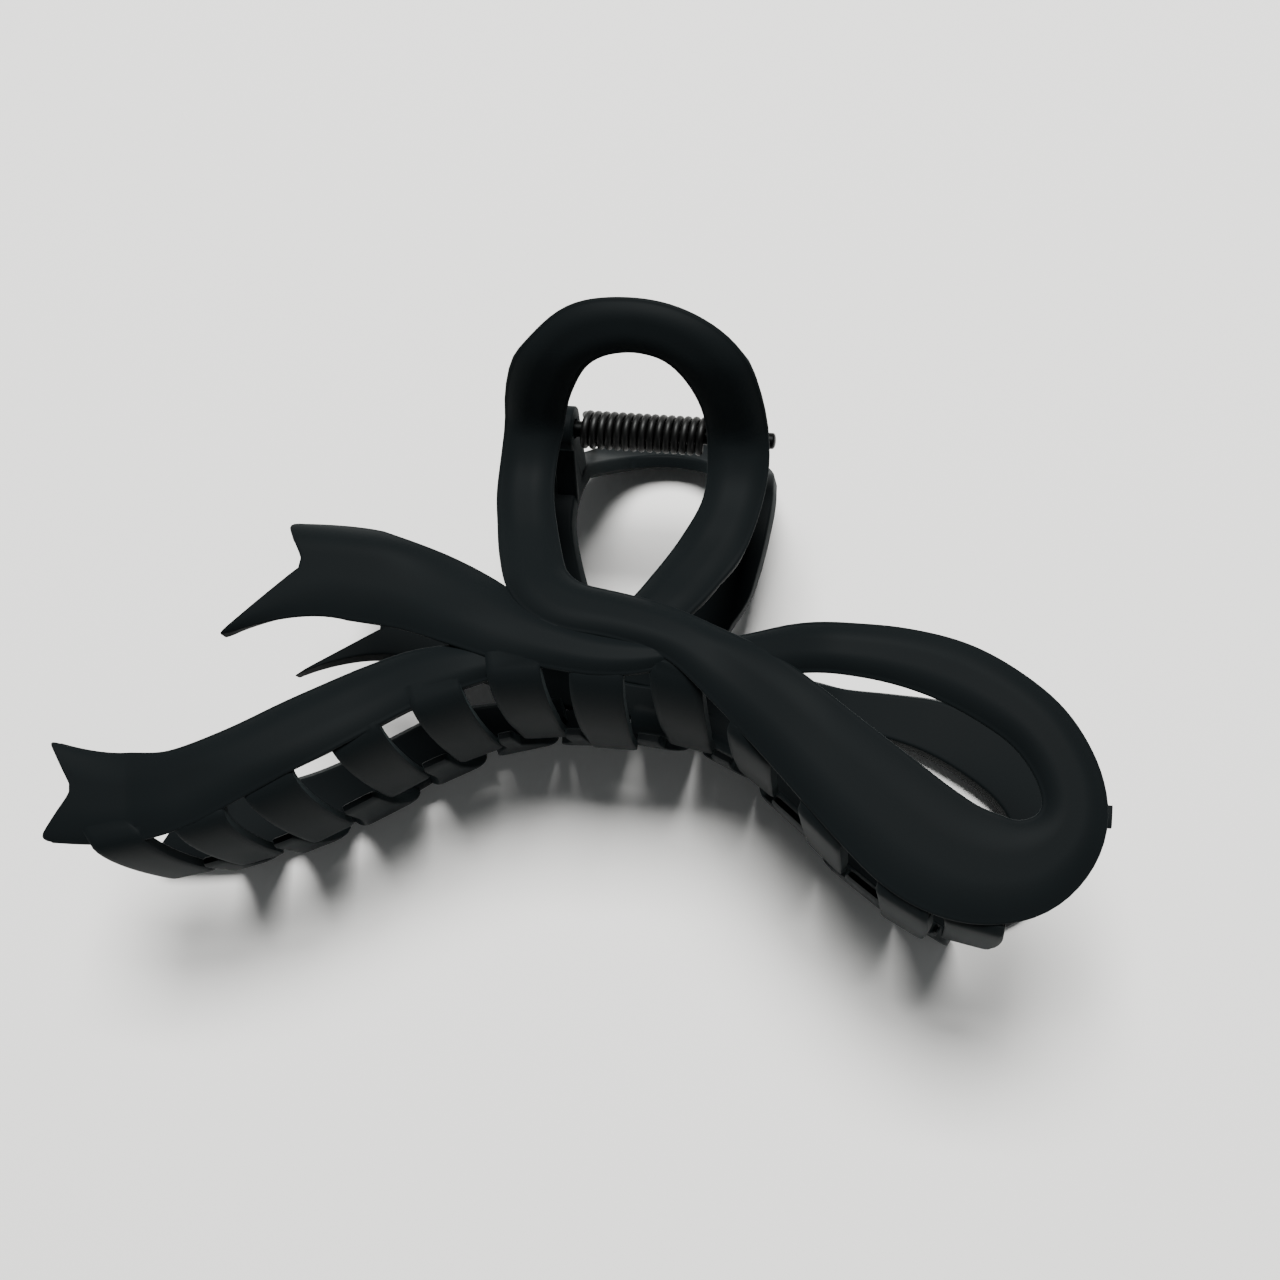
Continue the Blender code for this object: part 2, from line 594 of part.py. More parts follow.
def lay_down(frame, lowest_points):
    """Turn and shift the frame so that the rear jaw's handle and ribbons both touch z = 0."""
    handle = lowest_points[lowest_points[:, 1] > 0]
    body = lowest_points[lowest_points[:, 1] < 0]
    low = 0.0
    high = STEEPEST_TILT
    for _ in range(TILT_HALVINGS):
        tilt = (low + high) / 2
        down = np.array([0.0, math.sin(tilt), math.cos(tilt)])
        if np.min(handle @ down) < np.min(body @ down):
            low = tilt
        else:
            high = tilt
    frame.rotation_euler = (tilt, 0.0, 0.0)
    bpy.context.view_layer.update()
    corners = []
    graph = bpy.context.evaluated_depsgraph_get()
    for obj in frame.children:
        if obj.type == "MESH" and not obj.hide_render:
            mesh = obj.evaluated_get(graph).to_mesh()
            world = np.array(obj.matrix_world)
            points = np.array([vertex.co[:] for vertex in mesh.vertices])
            corners.append(points @ world[:3, :3].T + world[:3, 3])
            obj.evaluated_get(graph).to_mesh_clear()
    corners = np.vstack(corners)
    middle = (corners.min(axis=0) + corners.max(axis=0)) / 2
    frame.location = (-middle[0], -middle[1], -corners[:, 2].min())


def main():
    for obj in list(bpy.data.objects):
        bpy.data.objects.remove(obj)
    frame = bpy.data.objects.new("clip_frame", None)
    bpy.context.collection.objects.link(frame)
    plastic_front = new_material("front_jaw_plastic", (0.012, 0.015, 0.016), 0.55, 0.0)
    plastic_rear = new_material("rear_jaw_plastic", (0.012, 0.015, 0.016), 0.55, 0.0)
    pin_steel = new_material("pin_steel", (0.05, 0.05, 0.05), 0.4, 1.0)
    spring_steel = new_material("spring_steel", (0.08, 0.08, 0.075), 0.35, 1.0)
    build_jaw("front_jaw", 1, OUTER_KNUCKLE, frame, plastic_front)
    rear = build_jaw("rear_jaw", -1, INNER_KNUCKLE, frame, plastic_rear)
    build_pin(frame, pin_steel)
    build_spring(frame, spring_steel)
    lowest = np.array([vertex.co[:] for vertex in rear.data.vertices])
    lay_down(frame, lowest)


main()
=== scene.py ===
"""Looks of a ribbon-bow claw clip: two moulded jaws, a hinge pin and a torsion spring on a pale table.

Laid out as an add-on and run as a script.  The shapes are drawn in millimetres in the clip's own frame
(x along the clip, y from the teeth to the handle, z from the rear jaw to the front jaw, the hinge axis
on x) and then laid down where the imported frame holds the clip.
"""

import json
import math

import bmesh
import bpy
import numpy as np
from bpy.props import FloatProperty, FloatVectorProperty, IntProperty, PointerProperty
from mathutils import Matrix

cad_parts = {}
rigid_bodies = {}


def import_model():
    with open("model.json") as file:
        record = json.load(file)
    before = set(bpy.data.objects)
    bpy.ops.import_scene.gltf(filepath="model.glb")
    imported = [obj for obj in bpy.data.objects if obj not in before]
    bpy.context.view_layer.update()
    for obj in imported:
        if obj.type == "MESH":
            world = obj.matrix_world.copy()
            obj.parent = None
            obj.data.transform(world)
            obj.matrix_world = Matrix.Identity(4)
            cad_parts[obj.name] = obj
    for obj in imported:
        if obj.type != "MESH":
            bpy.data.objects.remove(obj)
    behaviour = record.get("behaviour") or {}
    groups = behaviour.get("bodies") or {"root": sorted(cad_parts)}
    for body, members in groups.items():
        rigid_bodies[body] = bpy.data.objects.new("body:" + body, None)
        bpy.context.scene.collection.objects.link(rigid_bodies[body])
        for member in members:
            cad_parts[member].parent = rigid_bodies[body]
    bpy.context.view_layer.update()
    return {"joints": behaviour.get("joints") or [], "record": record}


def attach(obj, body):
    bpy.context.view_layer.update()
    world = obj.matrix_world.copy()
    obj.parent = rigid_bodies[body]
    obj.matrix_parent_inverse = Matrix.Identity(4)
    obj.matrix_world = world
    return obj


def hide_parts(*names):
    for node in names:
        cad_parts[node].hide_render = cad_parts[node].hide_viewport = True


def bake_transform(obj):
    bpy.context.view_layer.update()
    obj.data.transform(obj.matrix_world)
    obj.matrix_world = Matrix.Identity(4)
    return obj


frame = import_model()

bl_info = {
    "name": "Bow Claw Clip",
    "version": (1, 0, 0),
    "blender": (4, 5, 0),
    "location": "3D View > Sidebar > Claw Clip",
    "description": "Moulds a bow-shaped claw clip and sets its table, lights and camera",
    "category": "Object",
}

MILLIMETRE = 0.001

# Height of a jaw's outer face above the mid-plane between the handle's legs, at places along y.
PROFILE = (
    (-62.0, 14.5),
    (-54.0, 16.0),
    (-44.0, 16.0),
    (-36.0, 15.6),
    (-28.0, 14.9),
    (-23.0, 13.2),
    (-19.0, 11.2),
    (-14.0, 9.2),
    (-8.5, 8.2),
    (-4.0, 9.4),
    (-1.4, 14.0),
    (1.4, 19.0),
    (6.2, 22.9),
    (10.0, 25.2),
)
# Heights of the outer face out on the flanks, and where the middle passes over into them.
LOOP_HEIGHT = 17.2
UPPER_TAIL_HEIGHT = 13.2
LOWER_TAIL_HEIGHT = 15.8
TAIL_RANGE = (-30.0, -46.0)
FLANK_RANGE = (12.0, 26.0)
HANDLE_RANGE = (-21.0, -13.0)

# Ribbon centre lines: x, y, half width, and how deep the ribbon is tucked there (0 to 1).
HANDLE_AND_LOOP = (
    (5.4, -23.6, 3.2, 1.0),
    (8.3, -19.0, 3.4, 0.5),
    (10.8, -14.3, 3.5, 0.0),
    (12.0, -9.8, 3.3, 0.0),
    (12.2, -5.2, 3.5, 0.0),
    (11.4, -1.6, 3.3, 0.0),
    (9.1, 1.2, 2.9, 0.0),
    (5.0, 3.3, 2.5, 0.0),
    (0.15, 3.9, 2.4, 0.0),
    (-4.95, 2.95, 2.7, 0.0),
    (-8.3, 0.5, 2.8, 0.0),
    (-10.9, -2.7, 3.35, 0.0),
    (-11.6, -6.3, 3.3, 0.0),
    (-11.6, -10.2, 3.3, 0.0),
    (-10.6, -14.3, 3.3, 0.0),
    (-9.2, -18.4, 3.4, 0.0),
    (-7.5, -21.8, 3.3, 0.0),
    (-4.1, -24.1, 3.1, 0.0),
    (0.6, -24.8, 2.9, 0.0),
    (5.2, -25.7, 2.9, 0.0),
    (9.4, -27.2, 3.0, 0.0),
    (13.6, -29.7, 3.6, 0.0),
    (17.8, -32.7, 4.2, 0.0),
    (22.3, -36.2, 4.7, 0.0),
    (26.7, -39.7, 5.2, 0.0),
    (30.6, -42.7, 5.6, 0.0),
    (34.5, -45.6, 5.9, 0.0),
    (38.0, -47.4, 5.8, 0.0),
    (41.4, -48.0, 5.5, 0.0),
    (44.7, -47.6, 4.9, 0.0),
    (47.3, -46.0, 4.1, 0.0),
    (49.0, -43.6, 3.4, 0.0),
    (49.3, -40.6, 3.1, 0.0),
    (47.9, -36.9, 3.1, 0.0),
    (44.6, -33.0, 3.2, 0.0),
    (38.2, -29.4, 3.3, 0.0),
    (31.8, -27.8, 3.0, 0.0),
    (25.2, -27.4, 2.7, 0.2),
    (19.6, -27.5, 2.8, 0.7),
    (14.6, -28.4, 2.7, 1.1),
)
UPPER_TAIL_RIBBON = (
    (9.0, -28.6, 1.0, 1.2),
    (4.5, -29.4, 2.0, 0.6),
    (0.0, -29.6, 2.4, 0.4),
    (-4.5, -28.9, 2.8, 0.5),
    (-9.5, -27.5, 3.9, 0.6),
    (-15.3, -25.3, 4.8, 0.3),
    (-21.2, -23.5, 5.2, 0.3),
    (-27.2, -22.3, 5.9, 0.3),
)
LOWER_TAIL_RIBBON = (
    (-8.0, -29.8, 1.5, 2.2),
    (-11.5, -31.1, 2.1, 1.8),
    (-15.0, -32.1, 2.6, 1.2),
    (-21.4, -34.5, 3.3, 0.5),
    (-29.8, -39.9, 3.9, 0.2),
    (-36.9, -44.7, 4.0, 0.2),
    (-43.5, -48.5, 4.4, 0.5),
    (-48.5, -49.8, 5.0, 1.1),
)
# Swallow tails: the upper tip, the notch and the lower tip, as x and y.
UPPER_TAIL = ((-37.4, -16.6), (-34.1, -22.2), (-43.0, -31.3))
LOWER_TAIL = ((-59.2, -44.3), (-55.0, -49.7), (-58.0, -55.6))
REAR_UPPER_TAIL = ((-37.4, -16.6), (-31.8, -23.8), (-43.0, -31.3))
TUCK = 0.9  # depth of a full tuck

# How the rear jaw's lower tail and loop differ from the front one's.
REAR_STRAND_DROP = 1.7
REAR_DROP_RANGE = (-44.0, -30.0)
REAR_LOOP_DROP = 0.9
REAR_LOOP_RANGE = (18.0, 27.0, 44.0, 50.0)
REAR_LOOP_WIDENING = (30.0, 38.0)
REAR_LOOP_FLOOR = -38.0

# The comb: x and y of a tooth's root at the ribbon's edge and of its tip at the mid-plane.
FRONT_TEETH = (
    ((-49.2, -54.2), (-47.2, -56.4)),
    ((-40.3, -51.2), (-39.2, -53.8)),
    ((-33.4, -46.7), (-31.2, -50.0)),
    ((-24.9, -40.7), (-23.0, -43.8)),
    ((-16.7, -35.6), (-15.0, -39.2)),
    ((-8.6, -32.0), (-7.6, -36.4)),
    ((0.3, -31.3), (0.6, -36.9)),
    ((8.6, -30.2), (9.4, -36.1)),
    ((17.4, -37.4), (17.3, -39.4)),
    ((25.2, -45.1), (25.6, -46.9)),
    ((33.7, -51.6), (34.4, -53.3)),
    ((40.6, -53.0), (41.1, -54.3)),
)
# How much wider a tooth gets towards its root, and how fast, on the tails and on the bow.
FRONT_ROOT_FLARE = 0.6
REAR_ROOT_GAP = 1.2
BOW_ROOT_OVERLAP = 0.3
FLARE_END = 0.75
TAIL_FLARE = 1.0
BOW_FLARE = 0.3
FLARE_SPLIT = -12.0  # x between the two

# Section of a ribbon.
RIBBON_THICKNESS = 2.4
FLAT_SHARE = 0.25
CROWN_POWER = 2.0
DRAFT_SHARE = 0.9
FACE_POINTS = 16
RIM_POINTS = 4
FOOT_RADIUS = 0.35
STATION_STEP = 0.8
CURVE_STEPS = 24
SMOOTHING_PASSES = 3

# Swallow-tail ends.
TAIL_SECTIONS = 18
TAIL_PULL = 0.4
TIP_ROUNDING = 1.5
ARC_START = 0.68  # share of the half width where a tip's rounding starts
NOTCH_ROUNDING = 0.06
NOTCH_REACH = 0.2  # share of the half width that the notch's rounding takes

# Hinge.
KNUCKLE_INSET = 3.6
HANDLE_LEG = 12.0
KNUCKLE_WIDTH = 2.6
KNUCKLE_CLEARANCE = 0.4
KNUCKLE_RADIUS = 2.65
KNUCKLE_WEB = (-7.4, -3.0)
KNUCKLE_BEVEL = 0.3
KNUCKLE_BEVEL_STEPS = 3
KNUCKLE_EDGE_ANGLE = 50.0
KNUCKLE_ARC = (15.0, -200.0)  # degrees
KNUCKLE_ARC_POINTS = 49
KNUCKLE_WEB_POINTS = 9
INNER_KNUCKLE = HANDLE_LEG - KNUCKLE_INSET
OUTER_KNUCKLE = INNER_KNUCKLE + KNUCKLE_WIDTH + KNUCKLE_CLEARANCE
BORE_RADIUS = 1.2
BORE_SIDES = 48
PIN_RIGHT = OUTER_KNUCKLE + KNUCKLE_WIDTH + 1.5
PIN_LEFT = OUTER_KNUCKLE + KNUCKLE_WIDTH + 1.3
PIN_RADIUS = 0.95
PIN_SIDES = 40
PIN_DOME = ((0.0, 0.28), (0.04, 0.52), (0.12, 0.75), (0.22, 0.88), (0.36, PIN_RADIUS))  # inset, radius


def clip_matrix():
    """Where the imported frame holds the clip: its hinge, and the tilt that its resting faces give."""
    hinge = frame["joints"][0]["pos_m"]
    rest = {mount["name"]: mount["axis"] for mount in frame["record"]["mounts"]}["front_loop_rest"]
    tilt = math.atan2(-rest[1], rest[2])
    return Matrix.Translation(hinge) @ Matrix.Rotation(tilt, 4, "X")


# ---------------------------------------------------------------- shapes of the ribbons


def smooth_values(knots, values, at):
    """Values of a smooth curve through the knots that never swings past a flat stretch."""
    knots = np.asarray(knots, float)
    values = np.asarray(values, float)
    rise = np.diff(values) / np.diff(knots)
    slopes = np.zeros(len(knots))
    same_way = rise[1:] * rise[:-1] > 0
    total = np.where(same_way, rise[1:] + rise[:-1], 1.0)
    slopes[1:-1] = np.where(same_way, 2 * rise[1:] * rise[:-1] / total, 0.0)
    slopes[0] = rise[0]
    slopes[-1] = rise[-1]
    at = np.clip(at, knots[0], knots[-1])
    index = np.clip(np.searchsorted(knots, at, side="right") - 1, 0, len(rise) - 1)
    width = knots[index + 1] - knots[index]
    t = (at - knots[index]) / width
    start = values[index] * (1 + 2 * t) * (1 - t) ** 2 + slopes[index] * width * t * (1 - t) ** 2
    end = values[index + 1] * t * t * (3 - 2 * t) + slopes[index + 1] * width * t * t * (t - 1)
    return start + end


def ease(start, end, value):
    """Smooth step from 0 at start to 1 at end."""
    share = np.clip((value - start) / (end - start), 0.0, 1.0)
    return share * share * (3 - 2 * share)


def outer_height(x, y):
    """Height of a jaw's outer face above the mid-plane."""
    x = np.asarray(x, float)
    y = np.asarray(y, float)
    knots, heights = np.array(PROFILE).T
    middle = smooth_values(knots, heights, y)
    tails = UPPER_TAIL_HEIGHT + (LOWER_TAIL_HEIGHT - UPPER_TAIL_HEIGHT) * ease(*TAIL_RANGE, y)
    flank = np.where(x < 0, tails, LOOP_HEIGHT)
    share = ease(*FLANK_RANGE, np.abs(x)) * (1 - ease(*HANDLE_RANGE, y))
    return middle * (1 - share) + flank * share


def on_face(x, y, sink):
    """Points under the outer face at (x, y), each sunk by its own depth along the face's normal."""
    x, y, sink = np.broadcast_arrays(*[np.asarray(value, float) for value in (x, y, sink)])
    reach = 0.05
    slope_x = (outer_height(x + reach, y) - outer_height(x - reach, y)) / (2 * reach)
    slope_y = (outer_height(x, y + reach) - outer_height(x, y - reach)) / (2 * reach)
    depth = sink / np.sqrt(1 + slope_x**2 + slope_y**2)
    return np.stack([x + depth * slope_x, y + depth * slope_y, outer_height(x, y) - depth], axis=-1)


def smooth_line(knots, steps):
    """Points of a smooth curve through the knots."""
    knots = np.array(knots, float)
    points = []
    for i in range(len(knots) - 1):
        before = knots[max(i - 1, 0)]
        after = knots[min(i + 2, len(knots) - 1)]
        for t in np.arange(steps) / steps:
            a = 2 * knots[i] + (knots[i + 1] - before) * t
            b = (2 * before - 5 * knots[i] + 4 * knots[i + 1] - after) * t**2
            c = (3 * knots[i] - before - 3 * knots[i + 1] + after) * t**3
            points.append((a + b + c) / 2)
    points.append(knots[-1])
    return np.array(points)


def ribbon_stations(outline):
    """The outline's centre line, half widths and tucks at even steps along it."""
    fine = smooth_line(outline, CURVE_STEPS)
    steps = np.linalg.norm(np.diff(fine[:, :2], axis=0), axis=1)
    along = np.concatenate([[0.0], np.cumsum(steps)])
    count = int(round(along[-1] / STATION_STEP)) + 1
    even = np.linspace(0.0, along[-1], count)
    stations = np.stack([np.interp(even, along, column) for column in fine.T], axis=1)
    soft = stations.copy()
    for _ in range(SMOOTHING_PASSES):
        soft[1:-1] = (soft[:-2] + 2 * soft[1:-1] + soft[2:]) / 4
    return soft


def rear_drop(x):
    """How far the rear jaw's lower tail runs below the front one's."""
    return REAR_STRAND_DROP * ease(*REAR_DROP_RANGE, x) * (x < 0)


def handle_and_loop(front):
    """Outline of the ribbon that forms one jaw's handle and loop."""
    outline = np.array(HANDLE_AND_LOOP)
    if not front:
        x, y = outline[:, 0], outline[:, 1]
        rise, full, ebb, end = REAR_LOOP_RANGE
        upper = (y > REAR_LOOP_FLOOR) & (np.arange(len(x)) > len(x) / 2)
        drop = REAR_LOOP_DROP * ease(rise, full, x) * (1 - ease(ebb, end, x)) * upper
        wider = ease(*REAR_LOOP_WIDENING, x) * drop / 2
        outline[:, 1] -= drop - wider
        outline[:, 2] += wider
    return outline


def lower_tail(front):
    outline = np.array(LOWER_TAIL_RIBBON)
    if not front:
        outline[:, 1] -= rear_drop(outline[:, 0])
    return outline


def half_section(thickness, crown, rim):
    """One half of the ribbon's section, middle first: share of the half width, inset and depth.

    The first list is the outer face with its rounded rim, the second the inner face with its foot.
    """
    outer = []
    for s in np.linspace(0.0, 1.0, FACE_POINTS):
        fall = max(0.0, (s - FLAT_SHARE) / (1 - FLAT_SHARE)) ** CROWN_POWER
        outer.append((s, -s * rim, crown * fall))
    for turn in np.linspace(0.0, math.pi / 2, RIM_POINTS + 1)[1:]:
        outer.append((1.0, -rim + rim * math.sin(turn), crown + rim * (1 - math.cos(turn))))
    inner = []
    for s in np.linspace(0.0, 1.0, FACE_POINTS):
        inner.append((s * DRAFT_SHARE, -s * FOOT_RADIUS, thickness))
    for turn in np.linspace(0.0, math.pi / 2, RIM_POINTS + 1)[1:]:
        sweep = -FOOT_RADIUS + FOOT_RADIUS * math.sin(turn)
        inner.append((DRAFT_SHARE, sweep, thickness - FOOT_RADIUS * (1 - math.cos(turn))))
    return outer, inner


def full_section(thickness, crown, rim):
    """The whole section as rows of share, inset and depth, from left to right, outer face first."""
    rows = []
    for half in half_section(thickness, crown, rim):
        left = [(-share, -inset, depth) for share, inset, depth in half[:0:-1]]
        rows.append(np.array(left + list(half)))
    return rows


def tail_end(tail, share, side_way):
    """Where the tail's cut edge lies at this share of the half width, rounded over at the tip.

    side_way is the direction in which the ribbon's own side runs into the tip.
    """
    upper, notch, lower = [np.array(point, float) for point in tail]
    tip = upper if share < 0 else lower
    reach = min(abs(share), 1.0)
    cut = (tip - notch) / np.linalg.norm(tip - notch)
    arc = tip - cut * TIP_ROUNDING
    if reach < ARC_START:
        back = NOTCH_ROUNDING * max(0.0, 1 - reach / NOTCH_REACH) ** 2 * np.linalg.norm(tip - notch)
        return notch + (arc - notch) * reach / ARC_START + side_way * back
    t = (reach - ARC_START) / (1 - ARC_START)
    landing = tip - side_way * TIP_ROUNDING
    return (1 - t) ** 2 * arc + 2 * t * (1 - t) * tip + t * t * landing


def ribbon(outline, sizes, tail=None):
    """Mesh of one ribbon on the outer face, with a swallow tail at its last point if it has one."""
    stations = ribbon_stations(outline)
    outer, inner = full_section(*sizes)
    rim = sizes[2]
    centre = stations[:, :2]
    forward = np.gradient(centre, axis=0)
    forward /= np.linalg.norm(forward, axis=1)[:, None]
    across = np.stack([forward[:, 1], -forward[:, 0]], axis=1)
    if tail:
        across *= -1.0
    sides = []
    for rows in (outer, inner):
        lines = []
        for share, inset, depth in rows:
            plan = centre + across * (stations[:, 2] * share + inset)[:, None]
            sink = depth + TUCK * stations[:, 3]
            if tail:
                plan, sink = run_out(plan, sink, forward[-1], tail, share, rows is outer, rim)
            lines.append(on_face(plan[:, 0], plan[:, 1], sink))
        sides.append(np.stack(lines, axis=1))
    return ribbon_mesh(sides[0], sides[1])


def run_out(plan, sink, forward, tail, share, outside, rim):
    """Carries one line of the ribbon on to the tail's cut edge and rounds it over there."""
    start = plan[-1]
    tip = np.array(tail[0] if share < 0 else tail[2])
    bend = start + forward * np.linalg.norm(tip - start) * TAIL_PULL
    side_way = (tip - bend) / np.linalg.norm(tip - bend)
    end = tail_end(tail, share if outside else share / DRAFT_SHARE, side_way)
    pull = start + forward * np.linalg.norm(end - start) * TAIL_PULL
    radius = rim if outside else FOOT_RADIUS
    steps = np.linspace(0.0, 1.0, TAIL_SECTIONS)[1:]
    path = [(1 - t) ** 2 * start + 2 * t * (1 - t) * pull + t * t * end for t in steps]
    way = path[-1] - path[-2]
    way /= np.linalg.norm(way)
    edge = path[-1]
    path[-1] = edge - way * radius
    sinks = [sink[-1]] * len(path)
    for turn in np.linspace(0.0, math.pi / 2, RIM_POINTS + 1)[1:]:
        path.append(edge - way * radius * (1 - math.sin(turn)))
        roll = radius * (1 - math.cos(turn))
        sinks.append(sink[-1] + (roll if outside else -roll))
    return np.vstack([plan, path]), np.concatenate([sink, sinks])


def ribbon_mesh(outer, inner):
    """Closed skin through the outer and inner lines, each stations by points by xyz."""
    count, width = outer.shape[:2]
    rings = np.concatenate([outer, inner[:, ::-1]], axis=1)
    size = 2 * width
    faces = []
    for i in range(count - 1):
        for j in range(size):
            k = (j + 1) % size
            faces.append((i * size + j, i * size + k, (i + 1) * size + k, (i + 1) * size + j))
    for base, turned in ((0, True), ((count - 1) * size, False)):
        for j in range(width - 1):
            face = (base + j, base + j + 1, base + size - 2 - j, base + size - 1 - j)
            faces.append(face[::-1] if turned else face)
    return rings.reshape(-1, 3), faces


# ---------------------------------------------------------------- small meshes


def prism(outline, start, end):
    """Mesh of an outline in the y-z plane drawn out along x."""
    size = len(outline)
    vertices = [(x, y, z) for x in (start, end) for y, z in outline]
    faces = [tuple(range(size))[::-1], tuple(range(size, 2 * size))]
    for j in range(size):
        k = (j + 1) % size
        faces.append((j, k, size + k, size + j))
    return np.array(vertices), faces


def round_bar(profile, sides):
    """Mesh of a bar turned round the hinge axis, from its places along x and its radii there."""
    turns = np.arange(sides) / sides * 2 * math.pi
    rings = [[(x, radius * math.cos(a), radius * math.sin(a)) for a in turns] for x, radius in profile]
    vertices = np.array(rings).reshape(-1, 3)
    faces = []
    for i in range(len(profile) - 1):
        for j in range(sides):
            k = (j + 1) % sides
            faces.append((i * sides + j, i * sides + k, (i + 1) * sides + k, (i + 1) * sides + j))
    last = (len(profile) - 1) * sides
    faces.append(tuple(range(sides))[::-1])
    faces.append(tuple(range(last, last + sides)))
    return vertices, faces


def knuckle_outline(thickness):
    """The knuckle's side view: a disc round the pin with a web up to the handle leg."""
    turns = np.radians(np.linspace(*KNUCKLE_ARC, KNUCKLE_ARC_POINTS))
    outline = [(KNUCKLE_RADIUS * math.cos(a), KNUCKLE_RADIUS * math.sin(a)) for a in turns]
    for y in np.linspace(*KNUCKLE_WEB, KNUCKLE_WEB_POINTS):
        point = on_face(0.0, y, thickness / 2)
        outline.append((point[1], point[2]))
    return outline


def new_object(name, mesh_data, side=1):
    """A mesh object from vertices in millimetres, laid in place, mirrored to the rear if side is -1."""
    vertices, faces = mesh_data
    points = np.array(vertices) * (1, 1, side) * MILLIMETRE
    mesh = bpy.data.meshes.new(name)
    mesh.from_pydata(points.tolist(), [], [list(face) for face in faces])
    mesh.transform(clip_matrix())
    bm = bmesh.new()
    bm.from_mesh(mesh)
    bmesh.ops.recalc_face_normals(bm, faces=bm.faces)
    bm.to_mesh(mesh)
    bm.free()
    obj = bpy.data.objects.new(name, mesh)
    bpy.context.scene.collection.objects.link(obj)
    return obj


def bake(obj, name):
    """Turns the object, with its modifiers worked out, into a plain mesh object of that name."""
    graph = bpy.context.evaluated_depsgraph_get()
    mesh = bpy.data.meshes.new_from_object(obj.evaluated_get(graph))
    mesh.name = name
    baked = bpy.data.objects.new(name, mesh)
    bpy.context.scene.collection.objects.link(baked)
    bpy.data.objects.remove(obj)
    baked.name = name
    return baked


def shade(obj, material, smooth_angle=38.0):
    obj.data.materials.clear()
    obj.data.materials.append(material)
    obj.data.shade_smooth()
    obj.data.set_sharp_from_angle(angle=math.radians(smooth_angle))


# ---------------------------------------------------------------- node helpers


class TreeMaker:
    """Adds nodes to a tree and links them, with plain values or sockets as inputs."""

    def __init__(self, tree):
        self.tree = tree

    def node(self, kind, inputs=None, **settings):
        node = self.tree.nodes.new(kind)
        for name, value in settings.items():
            setattr(node, name, value)
        for key, value in (inputs or {}).items():
            self.feed(node.inputs[key], value)
        return node

    def feed(self, socket, value):
        if isinstance(value, bpy.types.NodeSocket):
            self.tree.links.new(value, socket)
        else:
            socket.default_value = value

    def math(self, operation, a, b=0.0):
        return self.node("ShaderNodeMath", {0: a, 1: b}, operation=operation).outputs[0]

    def vector(self, operation, a, b=(0.0, 0.0, 0.0)):
        return self.node("ShaderNodeVectorMath", {0: a, 1: b}, operation=operation).outputs[0]

    def scale(self, vector, factor):
        node = self.node("ShaderNodeVectorMath", {0: vector, "Scale": factor}, operation="SCALE")
        return node.outputs[0]

    def attribute(self, name, data_type):
        node = self.node("GeometryNodeInputNamedAttribute", {"Name": name}, data_type=data_type)
        return node.outputs["Attribute"]


def new_tree(name, sizes):
    """A geometry tree with a geometry input and output and one named input for each size."""
    tree = bpy.data.node_groups.new(name, "GeometryNodeTree")
    tree.interface.new_socket("Geometry", in_out="INPUT", socket_type="NodeSocketGeometry")
    for label, kind in sizes:
        tree.interface.new_socket(label, in_out="INPUT", socket_type=kind)
    tree.interface.new_socket("Geometry", in_out="OUTPUT", socket_type="NodeSocketGeometry")
    return tree


def run_tree(obj, tree, values):
    """Puts the tree on the object with its inputs set, and works it out into a plain mesh object."""
    modifier = obj.modifiers.new(tree.name, "NODES")
    modifier.node_group = tree
    for item in tree.interface.items_tree:
        if item.in_out == "INPUT" and item.name in values:
            modifier[item.identifier] = values[item.name]
    return bake(obj, obj.name)


# ---------------------------------------------------------------- the comb

TOOTH_DEPTH = 2.0  # from a ribbon's outer face to the middle of its teeth
ROOT_TURN = 0.15  # share of a tooth's length that runs inside the ribbon
ROOT_INSIDE = 0.0018  # length of that part
TIP_START = 0.95  # share of a tooth's length where its tip's rounding starts
TIP_LOSS = 0.00028  # what the rounding takes off each side of the tip
TOOTH_CORNER = 0.3  # share of a tooth's half width and half thickness


